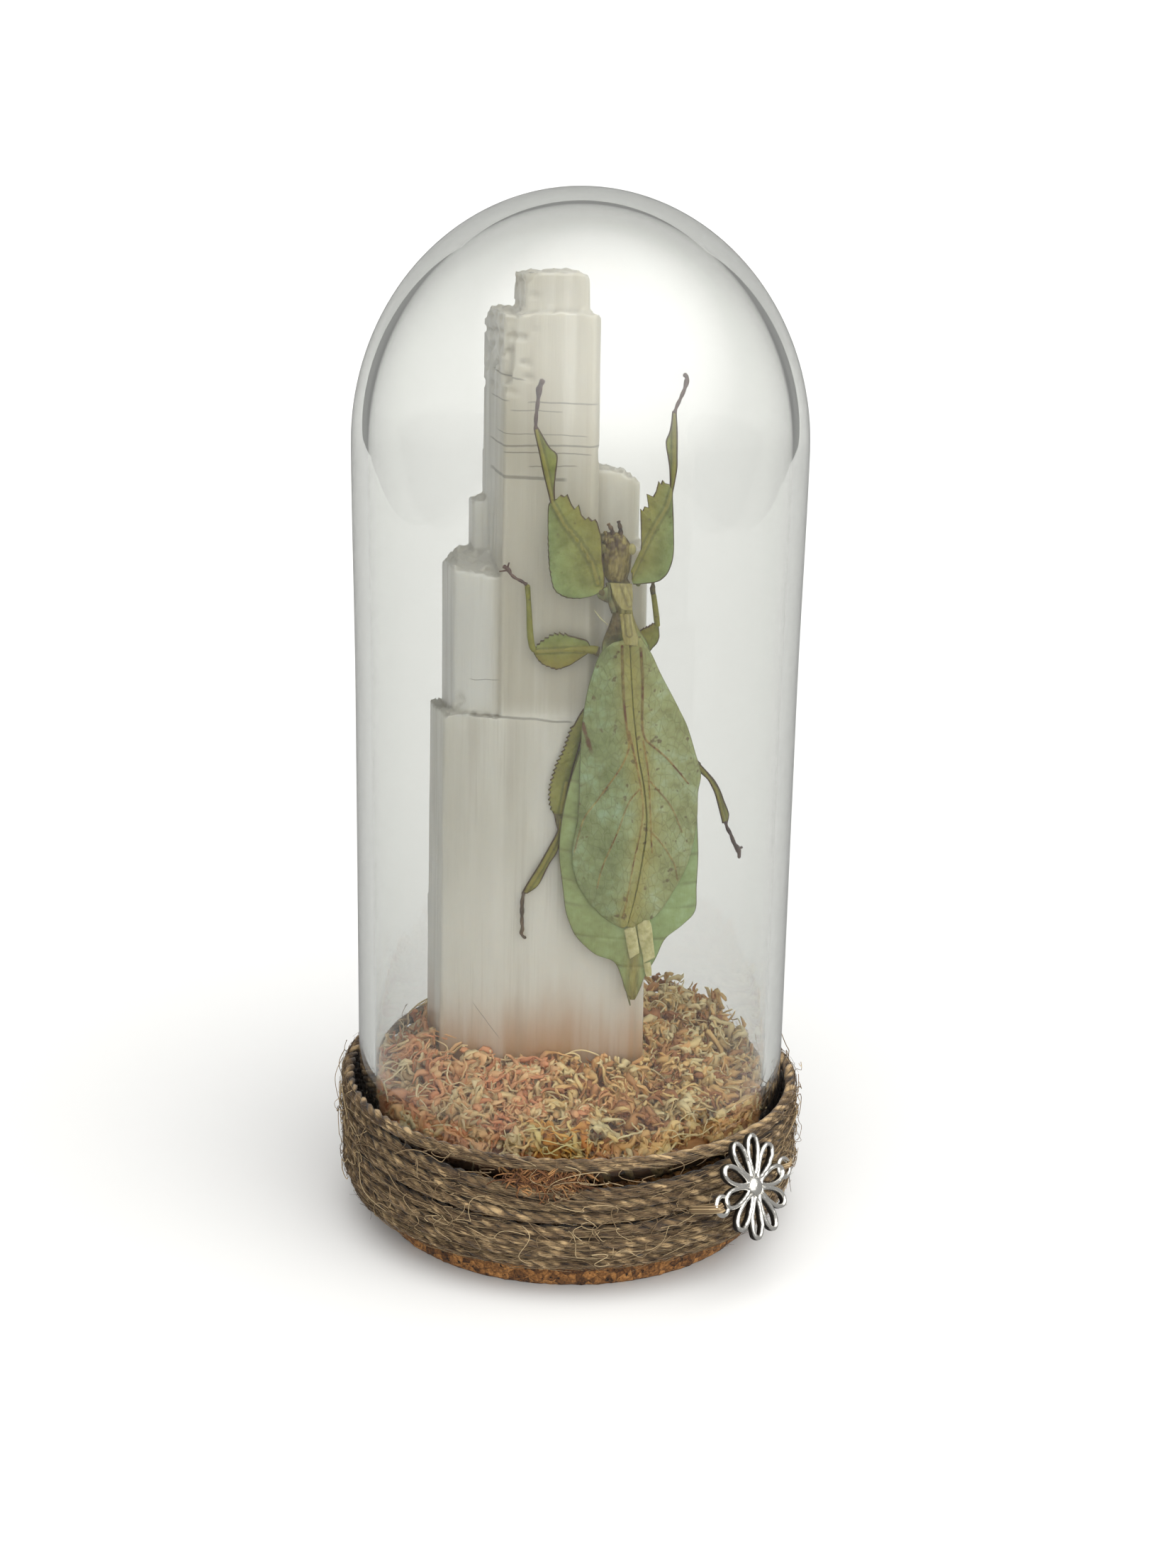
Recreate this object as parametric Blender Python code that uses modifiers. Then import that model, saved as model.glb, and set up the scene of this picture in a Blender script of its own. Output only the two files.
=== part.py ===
"""A dried leaf insect glued to a stepped selenite tower, kept under a glass dome.

The tower stands in moss on the plug of a cork base. Jute twine is wound round the joint
of dome and cork, and a cast flower charm is linked to the twine at the front right.
The frame is metres with +Z up. The origin is the centre of the cork's underside, and
the insect faces -Y. Lengths are written in millimetres and turned to metres at the mesh.
"""

import math

import bmesh
import bpy
import numpy as np
from mathutils import Matrix, Vector

for old in list(bpy.data.objects):
    bpy.data.objects.remove(old, do_unlink=True)

MM = 0.001
GAP = 0.3
ROUND_SEGMENTS = 36

# Glass dome: an 80 mm cloche, 190.5 mm to the top with its base.
DOME_R = 40.0
DOME_SHOULDER_R = 40.4
DOME_SHOULDER_Z = 146.0
DOME_TOP_Z = 190.5
GLASS_T = 3.0
GLASS_FOOT_Z = 12.4

# Cork base: a tapered foot with a plug that goes up inside the glass.
CORK_BOTTOM_R = 35.6
CORK_R = 39.6
CORK_SHOULDER_Z = GLASS_FOOT_Z - GAP - 0.1
PLUG_R = DOME_R - GLASS_T - 0.5
PLUG_TOP_Z = 21.0

# Jute twine: eight turns that climb the joint and sag a little at the front.
TWINE_R = 1.3
TWINE_TURNS = 8
TWINE_LOW_Z = 4.4
TWINE_HIGH_Z = 28.3
TWINE_FRONT_SAG = 1.5
TWINE_POINTS_PER_TURN = 22
TWINE_PATH_R = ((4.0, 39.3), (7.5, 41.0), (10.5, 42.05), (30.0, 42.1))

# Moss: a lumpy mat on the plug, heaped against the tower.
MOSS_R = DOME_R - GLASS_T - 0.6
MOSS_LOW_Z = PLUG_TOP_Z + GAP
MOSS_MIDDLE_Z = 27.6
MOSS_SLOPE = 0.06
MOSS_LUMP = 0.6
MOSS_RINGS = (1.0, 0.86, 0.68, 0.46, 0.2)
# The slot for the tower's foot goes right through the mat.
MOSS_SLOT_X = (-25.1, 15.2)
MOSS_SLOT_Z = (16.3, 61.3)
# Heaps on the mat, as (x, y, spread, height).
MOSS_HEAPS = (
    (-25.0, -4.0, 9.0, 4.5),
    (0.0, -10.0, 13.0, 1.6),
    (22.0, 20.0, 13.0, 3.6),
    (20.0, -2.0, 10.0, 2.0),
    (-14.0, 25.0, 12.0, 2.0),
)

# Selenite tower: upright slabs, as (low z, spread of the low end, corners in plan), where a
# corner is (x, y, top z). The plan leans so that the crystal's left sides face the front.
TOWER_FOOT_Z = PLUG_TOP_Z + GAP
TOWER_FRONT_Y = -4.0
TOWER_BACK_Y = 14.0
TOWER_LEAN = -0.25
TOWER_SLABS = {
    "foot": (TOWER_FOOT_Z, 0.054, [
        (-23.8, TOWER_FRONT_Y, 98.3), (-19.3, TOWER_FRONT_Y, 98.0), (-14.4, TOWER_FRONT_Y, 97.4),
        (12.9, TOWER_FRONT_Y, 96.9), (12.9, TOWER_BACK_Y, 98.0), (-23.6, TOWER_BACK_Y, 95.6)]),
    "left_blade": (89.0, 0.0, [
        (-21.9, -2.9, 124.4), (-17.4, -2.9, 123.6), (-12.0, -2.9, 122.5), (-12.0, 10.0, 126.0),
        (-18.4, 10.4, 126.4), (-21.8, 11.0, 122.8)]),
    "sliver": (110.0, 0.0, [
        (-16.4, 7.5, 134.6), (-12.5, 7.5, 135.4), (-12.5, 13.4, 136.0), (-16.4, 13.4, 134.4)]),
    "column": (87.0, 0.03, [
        (-13.1, -3.5, 169.0), (2.4, -3.5, 169.4), (4.0, -1.5, 168.6), (4.0, 12.0, 169.2),
        (-13.9, 12.0, 169.4)]),
    "crown": (160.0, 0.09, [
        (-9.4, -2.7, 176.0), (0.3, -2.7, 176.3), (1.7, -2.3, 174.9), (1.7, 7.0, 175.0),
        (0.3, 7.0, 176.2), (-9.4, 7.0, 175.8)]),
    "rear_blade": (85.0, 0.04, [
        (0.0, 2.0, 142.6), (9.0, 2.0, 141.2), (12.4, 2.2, 139.4), (12.6, 13.0, 139.8),
        (0.0, 13.0, 143.2)]),
    "right_step": (83.0, 0.03, [
        (0.5, -2.2, 126.8), (12.7, -2.2, 128.8), (12.7, 12.0, 128.8), (0.5, 12.0, 127.0)]),
}
# Broken corners, as (centre, size, turn about Y, turn about X); each is cut away.
TOWER_CHIPS = (
    ((-14.6, -4.6, 165.0), (6.2, 3.6, 16.0), 5.0, 8.0),
    ((-10.4, -4.2, 176.4), (4.6, 4.0, 4.0), 34.0, 20.0),
    ((-23.6, -5.0, 99.4), (7.0, 5.0, 4.4), -26.0, 24.0),
    ((-18.4, 7.0, 171.6), (6.4, 16.0, 6.4), 42.0, 0.0),
    ((8.5, 0.2, 143.4), (12.0, 3.6, 4.0), 12.0, 20.0),
)

# Flower charm: ten open petals, a domed middle and a link ring at each side. It hangs at one
# azimuth, faces another and leans back by the tilt.
CHARM_AZIMUTH = 43.4
CHARM_FACING = 53.4
CHARM_TILT = 20.1
CHARM_TURN = -19.5
CHARM_Z = 19.84
CHARM_PLANE_R = 48.1
CHARM_R = 9.5
CHARM_T = 1.5
CHARM_PETALS = 10
CHARM_BOSS_R = 2.05
CHARM_BOSS_T = 2.6
CHARM_RING_TURN = -0.6
CHARM_RING_REACH = 10.0
CHARM_RING_R = 1.65
CHARM_RING_WIRE_R = 0.45
# One petal's outline and opening, as (share of the charm's radius, degrees off its axis).
PETAL_OUTLINE = ((0.56, -18.0), (0.74, -15.5), (0.90, -9.5), (1.0, 0.0), (0.90, 9.5), (0.74, 15.5))
PETAL_OPENING = ((0.30, 0.0), (0.50, 9.0), (0.70, 9.5), (0.84, 5.5), (0.88, 0.0),
                 (0.84, -5.5), (0.70, -9.5), (0.50, -9.0))

# The insect hangs head up. Its outlines are x and z from the root of its wings.
WING_ROOT = (8.9, 112.5)
FEMUR_T = 0.55
TIBIA_T = 0.46
FORELEG_Y = -9.2
MIDLEG_Y = -5.5
HINDLEG_Y = -4.85
WING_Y = -8.05
WING_ROOT_LIFT = 1.3
WING_CAMBER = 0.35
WING_T = 0.5
BODY_SIDES = 10
ANTENNA_Y = -7.1
ANTENNA_RADII = (0.45, 0.42, 0.35)

# Stations down the body, as (z, left x, right x, middle y, half depth).
BODY_STATIONS = (
    (19.6, -3.6, -1.6, -6.9, 0.7), (18.2, -4.9, -0.3, -6.9, 1.5), (16.3, -5.0, 0.4, -6.8, 2.0),
    (13.1, -4.8, 0.2, -6.7, 2.2), (11.4, -4.1, -0.2, -6.7, 1.6), (10.4, -3.5, 0.3, -6.8, 1.4),
    (8.0, -3.2, 0.7, -6.7, 1.8), (5.4, -2.7, 0.8, -6.6, 1.6), (2.9, -3.3, 1.6, -6.4, 1.9),
    (-0.4, -4.4, 3.6, -5.9, 1.3), (-3.6, -4.6, 4.4, -5.9, 1.3), (-10.8, -5.2, 6.6, -6.3, 0.9),
    (-21.0, -8.2, 12.4, -6.35, 0.8), (-26.0, -9.7, 13.1, -6.35, 0.8),
    (-32.8, -11.1, 13.4, -6.35, 0.7), (-39.6, -11.6, 13.8, -6.35, 0.7),
    (-45.8, -10.9, 13.7, -6.35, 0.7), (-50.6, -10.3, 13.6, -6.35, 0.7),
    (-53.4, -9.5, 11.4, -6.35, 0.7), (-56.2, -8.1, 8.3, -6.35, 0.7),
    (-59.4, -4.8, 6.9, -6.35, 0.7), (-60.9, -1.2, 6.2, -6.35, 0.8),
    (-63.9, 0.3, 4.6, -6.35, 0.9), (-66.0, 0.9, 3.9, -6.35, 0.8), (-68.5, 2.0, 2.9, -6.35, 0.4),
)
ANTENNAE = (
    [(-2.9, 18.6), (-3.2, 20.0), (-3.9, 21.2)],
    [(-1.6, 18.6), (-1.7, 20.2), (-2.1, 21.7)],
)

# Where the two forewings meet, from root to tip, and each wing's outer edge.
WING_MIDLINE = [(0.3, 1.2), (0.7, -4.5), (1.3, -12.3), (2.3, -20.3), (3.6, -27.0),
                (4.2, -33.6), (3.6, -40.4), (2.5, -47.3), (1.1, -53.4)]
WING_LEFT_EDGE = [(-2.7, 0.2), (-4.4, -1.4), (-5.6, -4.1), (-7.0, -9.2), (-7.8, -15.5),
                  (-8.1, -24.0), (-8.2, -32.0), (-9.2, -39.5), (-8.4, -44.7), (-6.3, -48.5),
                  (-3.4, -51.8), (0.2, -54.0)]
WING_RIGHT_EDGE = [(2.2, 1.5), (4.1, -1.5), (6.1, -5.7), (9.4, -11.9), (11.0, -15.2),
                   (12.6, -20.1), (13.7, -24.0), (13.3, -27.5), (13.3, -32.1), (12.8, -36.8),
                   (11.7, -41.6), (9.5, -46.5), (6.4, -51.3), (2.4, -53.8)]

# Leg lobes: each is a flat blade between two edges that run from its base to its tip.
LEFT_FORE_FEMUR = (
    [(-5.6, 9.0), (-7.1, 8.4), (-9.3, 8.1), (-11.3, 8.4), (-13.0, 9.6), (-13.7, 11.9),
     (-14.1, 14.7), (-14.3, 18.4), (-14.4, 22.4), (-14.3, 24.6), (-13.8, 25.3)],
    [(-4.9, 9.4), (-4.3, 10.4), (-4.3, 12.0), (-4.7, 15.0), (-5.0, 19.2), (-5.7, 21.7),
     (-6.1, 22.3), (-6.6, 22.0), (-7.3, 22.7), (-7.7, 22.2), (-8.5, 23.0), (-9.0, 24.8),
     (-9.6, 23.9), (-10.3, 24.9), (-11.0, 26.6), (-11.5, 26.1), (-12.1, 26.5), (-12.3, 25.8),
     (-13.2, 25.6)],
)
LEFT_FORE_TIBIA = (
    [(-13.8, 24.2), (-14.7, 27.8), (-15.3, 30.0), (-16.0, 33.3), (-16.8, 36.7), (-17.0, 37.9)],
    [(-13.0, 24.4), (-13.2, 27.8), (-12.8, 32.4), (-13.1, 33.6), (-14.2, 34.6), (-16.2, 37.9)],
)
RIGHT_FORE_FEMUR = (
    [(0.7, 10.8), (2.2, 10.9), (4.7, 11.3), (5.9, 12.0), (6.9, 13.4), (7.6, 16.3), (7.5, 21.3),
     (7.2, 26.3), (7.2, 28.4)],
    [(0.4, 11.7), (0.4, 13.4), (1.2, 15.3), (1.8, 16.6), (1.9, 18.1), (1.7, 21.9), (1.6, 24.3),
     (2.0, 23.9), (2.3, 24.7), (3.0, 24.5), (2.6, 26.9), (3.7, 26.4), (4.2, 27.3), (4.6, 29.1),
     (5.0, 28.6), (5.3, 29.3), (5.6, 28.8), (6.5, 28.6)],
)
RIGHT_FORE_TIBIA = (
    [(7.2, 27.2), (7.8, 31.0), (7.8, 33.7), (7.7, 37.4), (7.4, 41.1)],
    [(6.6, 27.2), (6.4, 31.3), (5.7, 35.2), (5.8, 36.4), (6.2, 37.4), (6.5, 39.2), (6.6, 41.1)],
)
LEFT_MID_FEMUR = (
    [(-6.5, -1.6), (-7.0, -0.4), (-8.2, 0.1), (-11.0, 0.7), (-13.0, 0.7), (-14.5, -0.1),
     (-15.8, -1.2), (-16.6, -2.0)],
    [(-6.5, -2.3), (-7.5, -3.1), (-9.2, -4.3), (-10.3, -5.0), (-12.1, -5.6), (-13.2, -5.5),
     (-15.2, -4.6), (-16.6, -2.9)],
)
RIGHT_MID_FEMUR = (
    [(3.4, 1.7), (3.4, 2.5), (4.4, 3.0), (5.4, 3.3)],
    [(4.3, -0.8), (4.6, -1.7), (5.0, -1.2), (5.7, 0.0), (5.6, 1.5), (5.7, 3.2)],
)
LEFT_HIND_FEMUR = (
    [(-6.1, -11.3), (-8.0, -13.3), (-9.3, -16.0), (-11.0, -21.1), (-12.5, -24.7),
     (-13.2, -28.1), (-13.2, -30.8), (-12.4, -33.4)],
    [(-5.4, -12.0), (-6.9, -14.6), (-8.1, -20.0), (-9.3, -24.7), (-10.1, -28.7),
     (-10.3, -31.9), (-10.9, -34.2)],
)
LEFT_HIND_TIBIA = (
    [(-11.9, -33.0), (-12.0, -36.2), (-14.0, -40.4), (-15.6, -43.4), (-17.2, -46.2),
     (-18.3, -48.3)],
    [(-10.8, -33.4), (-11.3, -36.9), (-11.8, -40.1), (-13.3, -42.7), (-15.2, -46.7),
     (-17.3, -48.5)],
)
RIGHT_HIND_FEMUR = (
    [(3.4, -9.0), (6.1, -13.8), (9.5, -18.2), (12.0, -21.2), (13.9, -22.9)],
    [(2.6, -11.0), (3.6, -15.5), (6.6, -20.5), (10.2, -23.6), (13.4, -24.3)],
)
RIGHT_HIND_TIBIA = (
    [(13.0, -22.2), (15.6, -25.0), (16.6, -26.2), (17.6, -28.0), (18.3, -29.8), (19.2, -32.0),
     (19.3, -32.9), (19.1, -34.1)],
    [(12.6, -23.4), (14.0, -24.9), (15.1, -25.9), (15.9, -27.3), (16.6, -28.9), (17.6, -32.4),
     (18.1, -34.3)],
)


# --- materials and collections ------------------------------------------------------------

model = bpy.data.collections.new("insect_in_glass_dome")
cutters = bpy.data.collections.new("cutters")
bpy.context.scene.collection.children.link(model)
bpy.context.scene.collection.children.link(cutters)


def material(name, colour, roughness, metallic=0.0, alpha=1.0):
    """A plain Principled finish."""
    made = bpy.data.materials.new(name)
    made.use_nodes = True
    shader = made.node_tree.nodes["Principled BSDF"]
    shader.inputs["Base Color"].default_value = (*colour, 1.0)
    shader.inputs["Roughness"].default_value = roughness
    shader.inputs["Metallic"].default_value = metallic
    shader.inputs["Alpha"].default_value = alpha
    return made


CORK = material("cork", (0.42, 0.22, 0.09), 0.9)
GLASS = material("clear_glass", (0.93, 0.95, 0.95), 0.02, alpha=0.25)
JUTE = material("jute", (0.36, 0.26, 0.15), 0.95)
MOSS = material("dried_moss", (0.62, 0.38, 0.26), 0.95)
SELENITE = material("selenite", (0.72, 0.71, 0.67), 0.35)
SILVER = material("antique_silver", (0.72, 0.71, 0.67), 0.28, metallic=1.0)
BODY_GREEN = material("olive_body", (0.26, 0.25, 0.09), 0.6)
WING_GREEN = material("mint_wing", (0.34, 0.42, 0.24), 0.55)
LEG_GREEN = material("leg_green", (0.22, 0.24, 0.07), 0.6)


def keep(name, mesh, finish, sharp_degrees=40.0):
    """Puts a finished mesh in the model as one named object with its material."""
    mesh.name = name
    made = bpy.data.objects.new(name, mesh)
    mesh.materials.clear()
    mesh.materials.append(finish)
    mesh.shade_smooth()
    mesh.set_sharp_from_angle(angle=math.radians(sharp_degrees))
    model.objects.link(made)
    return made


# --- shape helpers ------------------------------------------------------------------------


def face_outwards(shape):
    """Turns every face of a closed shape outwards."""
    bmesh.ops.recalc_face_normals(shape, faces=shape.faces)
    if shape.calc_volume(signed=True) < 0.0:
        bmesh.ops.reverse_faces(shape, faces=shape.faces)


def evaluated_mesh(source):
    """The mesh of an object with its modifiers, welded and in world space; removes the object."""
    bpy.context.view_layer.update()
    seen = source.evaluated_get(bpy.context.evaluated_depsgraph_get())
    mesh = bpy.data.meshes.new_from_object(seen)
    mesh.transform(source.matrix_world)
    bpy.data.objects.remove(source)
    shape = bmesh.new()
    shape.from_mesh(mesh)
    bmesh.ops.remove_doubles(shape, verts=shape.verts, dist=1e-6)
    face_outwards(shape)
    shape.to_mesh(mesh)
    shape.free()
    return mesh


def turned(profile):
    """A turned solid from (radius, z) points that run down its outer side."""
    mesh = bpy.data.meshes.new("profile")
    edges = [(i, i + 1) for i in range(len(profile) - 1)]
    mesh.from_pydata([(r * MM, 0.0, z * MM) for r, z in profile], edges, [])
    source = bpy.data.objects.new("profile", mesh)
    bpy.context.scene.collection.objects.link(source)
    screw = source.modifiers.new("turn", "SCREW")
    screw.steps = ROUND_SEGMENTS
    screw.render_steps = ROUND_SEGMENTS
    screw.use_merge_vertices = True
    screw.merge_threshold = 0.00001
    return evaluated_mesh(source)


def tube(points, radii, sides_level=1):
    """A round wire through (x, y, z) points, with one radius or a radius at each point."""
    if not hasattr(radii, "__len__"):
        radii = [radii] * len(points)
    curve = bpy.data.curves.new("wire", "CURVE")
    curve.dimensions = "3D"
    curve.bevel_depth = MM
    curve.bevel_resolution = sides_level
    curve.use_fill_caps = True
    spline = curve.splines.new("POLY")
    spline.points.add(len(points) - 1)
    for point, place, radius in zip(spline.points, points, radii):
        point.co = (*(c * MM for c in place), 1.0)
        point.radius = radius
    source = bpy.data.objects.new("wire", curve)
    bpy.context.scene.collection.objects.link(source)
    return evaluated_mesh(source)


def plate(outlines, thickness):
    """A flat plate in the XY plane; outlines after the first one are openings."""
    curve = bpy.data.curves.new("plate", "CURVE")
    curve.dimensions = "2D"
    curve.fill_mode = "BOTH"
    curve.extrude = thickness / 2 * MM
    for outline in outlines:
        spline = curve.splines.new("POLY")
        spline.points.add(len(outline) - 1)
        spline.use_cyclic_u = True
        for point, (x, y) in zip(spline.points, outline):
            point.co = (x * MM, y * MM, 0.0, 1.0)
    source = bpy.data.objects.new("plate", curve)
    bpy.context.scene.collection.objects.link(source)
    return evaluated_mesh(source)


def upright_plate(outline, front_y, back_y):
    """A plate whose outline is in x and z, between two depths."""
    mesh = plate([outline], back_y - front_y)
    middle = Vector((0.0, (front_y + back_y) / 2 * MM, 0.0))
    mesh.transform(Matrix.Translation(middle) @ Matrix.Rotation(math.pi / 2, 4, "X"))
    return mesh


def block(centre, size, turn_y, turn_x):
    """A turned box, for cutting."""
    shape = bmesh.new()
    bmesh.ops.create_cube(shape, size=MM)
    mesh = bpy.data.meshes.new("block")
    shape.to_mesh(mesh)
    shape.free()
    place = Matrix.Translation(Vector(centre) * MM)
    turn = Matrix.Rotation(math.radians(turn_y), 4, "Y") @ Matrix.Rotation(math.radians(turn_x), 4, "X")
    mesh.transform(place @ turn @ Matrix.Diagonal((*size, 1.0)))
    return mesh


def combine(first, others, operation="UNION"):
    """Joins meshes to the first one, or cuts them from it, with exact Booleans."""
    base = bpy.data.objects.new("base", first)
    bpy.context.scene.collection.objects.link(base)
    tools = []
    for mesh in others:
        tool = bpy.data.objects.new("tool", mesh)
        tool.display_type = "WIRE"
        tool.hide_render = True
        cutters.objects.link(tool)
        tools.append(tool)
        joint = base.modifiers.new("join", "BOOLEAN")
        joint.operation = operation
        joint.solver = "EXACT"
        joint.object = tool
    mesh = evaluated_mesh(base)
    for tool in tools:
        bpy.data.objects.remove(tool)
    return mesh


# --- base, glass and twine ----------------------------------------------------------------


def dome_profile(inset):
    """The dome's side and quarter ellipse, top to bottom, moved in by inset."""
    shoulder = DOME_SHOULDER_R - inset
    height = DOME_TOP_Z - inset - DOME_SHOULDER_Z
    steps = 7
    arc = [(shoulder * math.sin(a), DOME_SHOULDER_Z + height * math.cos(a))
           for a in (math.pi / 2 * i / steps for i in range(steps + 1))]
    return [*arc, (DOME_R - inset, 110.0), (DOME_R - inset, GLASS_FOOT_Z)]


def make_dome():
    outside = dome_profile(0.0)
    inside = dome_profile(GLASS_T)
    return keep("glass_dome", turned([*outside, *reversed(inside)]), GLASS)


def make_cork():
    profile = [
        (0.0, PLUG_TOP_Z), (PLUG_R, PLUG_TOP_Z), (PLUG_R, CORK_SHOULDER_Z), (CORK_R, CORK_SHOULDER_Z),
        (CORK_R, 10.4), (38.6, 7.3), (36.9, 4.2), (36.7, 2.2), (CORK_BOTTOM_R + 0.6, 0.5),
        (CORK_BOTTOM_R, 0.0), (0.0, 0.0),
    ]
    return keep("cork_base", turned(profile), CORK, 30.0)


def make_twine():
    """A helix whose radius follows the cork's taper; its height dips at the front."""
    heights, radii = zip(*TWINE_PATH_R)
    points = []
    count = TWINE_TURNS * TWINE_POINTS_PER_TURN
    for i in range(count + 1):
        share = i / count
        turn = 2 * math.pi * TWINE_TURNS * share
        x, y = math.sin(turn), math.cos(turn)
        z = TWINE_LOW_Z + (TWINE_HIGH_Z - TWINE_LOW_Z) * share
        r = float(np.interp(z, heights, radii))
        points.append((r * x, r * y, z - TWINE_FRONT_SAG * share * (1 - y) / 2))
    return keep("twine_wrap", tube(points, TWINE_R), JUTE)


# --- moss and tower -----------------------------------------------------------------------


def loft(rings):
    """A closed skin of triangles over rings of (x, y, z) points, all of one count."""
    shape = bmesh.new()
    rows = [[shape.verts.new(Vector(point) * MM) for point in ring] for ring in rings]
    for row, following in zip(rows, rows[1:]):
        for i in range(len(row)):
            shape.faces.new((row[i - 1], row[i], following[i], following[i - 1]))
    shape.faces.new(rows[0])
    shape.faces.new(rows[-1])
    bmesh.ops.triangulate(shape, faces=shape.faces)
    face_outwards(shape)
    mesh = bpy.data.meshes.new("loft")
    shape.to_mesh(mesh)
    shape.free()
    return mesh


def moss_height(x, y):
    """The mat's top: higher at the back, with round heaps and small lumps."""
    z = MOSS_MIDDLE_Z + MOSS_SLOPE * y + MOSS_LUMP * math.sin(0.55 * x + 1.0) * math.cos(0.5 * y)
    for heap_x, heap_y, spread, height in MOSS_HEAPS:
        z += height * math.exp(-((x - heap_x) ** 2 + (y - heap_y) ** 2) / spread**2)
    return z


def slab(low_z, spread, corners):
    """An upright slab with a top height at each corner, sheared in plan by the crystal's lean."""
    middle = sum(x for x, y, z in corners) / len(corners)
    low = [(middle + (x - middle) * (1 + spread), y, low_z) for x, y, z in corners]
    return loft([[(x + TOWER_LEAN * (y - TOWER_FRONT_Y), y, z) for x, y, z in ring] for ring in (low, corners)])


def make_moss():
    """A round mat whose top follows moss_height, with a slot for the tower's foot."""
    angles = [2 * math.pi * i / ROUND_SEGMENTS for i in range(ROUND_SEGMENTS)]
    rings = [[(MOSS_R * math.cos(a), MOSS_R * math.sin(a), MOSS_LOW_Z) for a in angles]]
    for share in MOSS_RINGS:
        flat = [(share * MOSS_R * math.cos(a), share * MOSS_R * math.sin(a)) for a in angles]
        rings.append([(x, y, moss_height(x, y)) for x, y in flat])
    left, right = MOSS_SLOT_X
    front, back = TOWER_FRONT_Y - GAP, TOWER_BACK_Y + GAP
    low, high = MOSS_SLOT_Z
    slot = slab(low, 0.0, [(left, front, high), (right, front, high), (right, back, high),
                           (left, back, high)])
    return keep("moss_bed", combine(loft(rings), [slot], "DIFFERENCE"), MOSS, 60.0)


def make_tower():
    """The slabs joined in one crystal, with its broken corners cut away."""
    slabs = [slab(*shape) for shape in TOWER_SLABS.values()]
    joined = combine(slabs[0], slabs[1:])
    chips = [block(*chip) for chip in TOWER_CHIPS]
    return keep("selenite_tower", combine(joined, chips, "DIFFERENCE"), SELENITE, 10.0)


# --- charm --------------------------------------------------------------------------------


def around(radius_share, degrees, petal):
    """A point of one petal, from its share of the charm's radius and angle off its axis."""
    angle = math.radians(90.0 + CHARM_TURN - 360.0 / CHARM_PETALS * petal - degrees)
    return (CHARM_R * radius_share * math.cos(angle), CHARM_R * radius_share * math.sin(angle))


def charm_place():
    """The charm's frame: its face leans back a little and looks out from the twine."""
    azimuth, facing, tilt = (math.radians(a) for a in (CHARM_AZIMUTH, CHARM_FACING, CHARM_TILT))
    out = Vector((math.sin(facing) * math.cos(tilt), -math.cos(facing) * math.cos(tilt), math.sin(tilt)))
    across = Vector((math.cos(facing), math.sin(facing), 0.0))
    frame = Matrix((across, out.cross(across), out)).transposed().to_4x4()
    middle = Vector((CHARM_PLANE_R * math.sin(azimuth), -CHARM_PLANE_R * math.cos(azimuth), CHARM_Z))
    return Matrix.Translation(middle * MM) @ frame


def charm_boss():
    """The flattened dome in the middle of the flower."""
    shape = bmesh.new()
    size = Matrix.Diagonal((CHARM_BOSS_R * MM, CHARM_BOSS_R * MM, CHARM_BOSS_T / 2 * MM, 1.0))
    bmesh.ops.create_uvsphere(shape, u_segments=12, v_segments=6, radius=1.0, matrix=size)
    mesh = bpy.data.meshes.new("boss")
    shape.to_mesh(mesh)
    shape.free()
    return mesh


def charm_ring(side):
    """The link ring at the right (side 1) or the left (side -1)."""
    bpy.ops.mesh.primitive_torus_add(major_radius=CHARM_RING_R * MM, minor_radius=CHARM_RING_WIRE_R * MM,
                                     major_segments=14, minor_segments=6)
    ring = bpy.context.object
    turn = math.radians(CHARM_RING_TURN)
    reach = side * CHARM_RING_REACH
    ring.location = (reach * math.cos(turn) * MM, reach * math.sin(turn) * MM, 0.0)
    return evaluated_mesh(ring)


def make_charm():
    outline = [around(*point, petal) for petal in range(CHARM_PETALS) for point in PETAL_OUTLINE]
    openings = [[around(*point, petal) for point in PETAL_OPENING] for petal in range(CHARM_PETALS)]
    flower = plate([outline, *openings], CHARM_T)
    mesh = combine(flower, [charm_boss(), charm_ring(1), charm_ring(-1)])
    mesh.transform(charm_place())
    return keep("flower_charm", mesh, SILVER)


# --- insect -------------------------------------------------------------------------------


def on_insect(x, z, y):
    """Turns the insect's own x and z to world millimetres at a depth."""
    return (WING_ROOT[0] + x, y, WING_ROOT[1] + z)


def lobe(edges, y, thickness):
    """A flat leg lobe between its two edges."""
    first, second = edges
    outline = [(WING_ROOT[0] + x, WING_ROOT[1] + z) for x, z in [*first, *reversed(second)]]
    return upright_plate(outline, y - thickness / 2, y + thickness / 2)


def limb(points, radii):
    """A round limb through the insect's own (x, z, y) points."""
    return tube([on_insect(*point) for point in points], radii)


def flat_limb(points, radii, y):
    """A round limb at one depth."""
    return limb([(x, z, y) for x, z in points], radii)


def make_body():
    """Head, thorax and leaf-shaped abdomen in one loft, with the two short antennae."""
    rings = []
    for z, left, right, middle_y, half_depth in BODY_STATIONS:
        middle, half = (left + right) / 2, (right - left) / 2
        angles = [2 * math.pi * i / BODY_SIDES for i in range(BODY_SIDES)]
        rings.append([on_insect(middle + half * math.cos(a), z, middle_y + half_depth * math.sin(a))
                      for a in angles])
    feelers = [flat_limb(path, ANTENNA_RADII, ANTENNA_Y) for path in ANTENNAE]
    return keep("insect_body", combine(loft(rings), feelers), BODY_GREEN, 60.0)


def along(points, share):
    """The point at a share of a line's length."""
    line = np.array(points)
    steps = np.hypot(*np.diff(line, axis=0).T)
    run = np.concatenate(([0.0], np.cumsum(steps))) / steps.sum()
    return np.interp(share, run, line[:, 0]), np.interp(share, run, line[:, 1])


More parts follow.
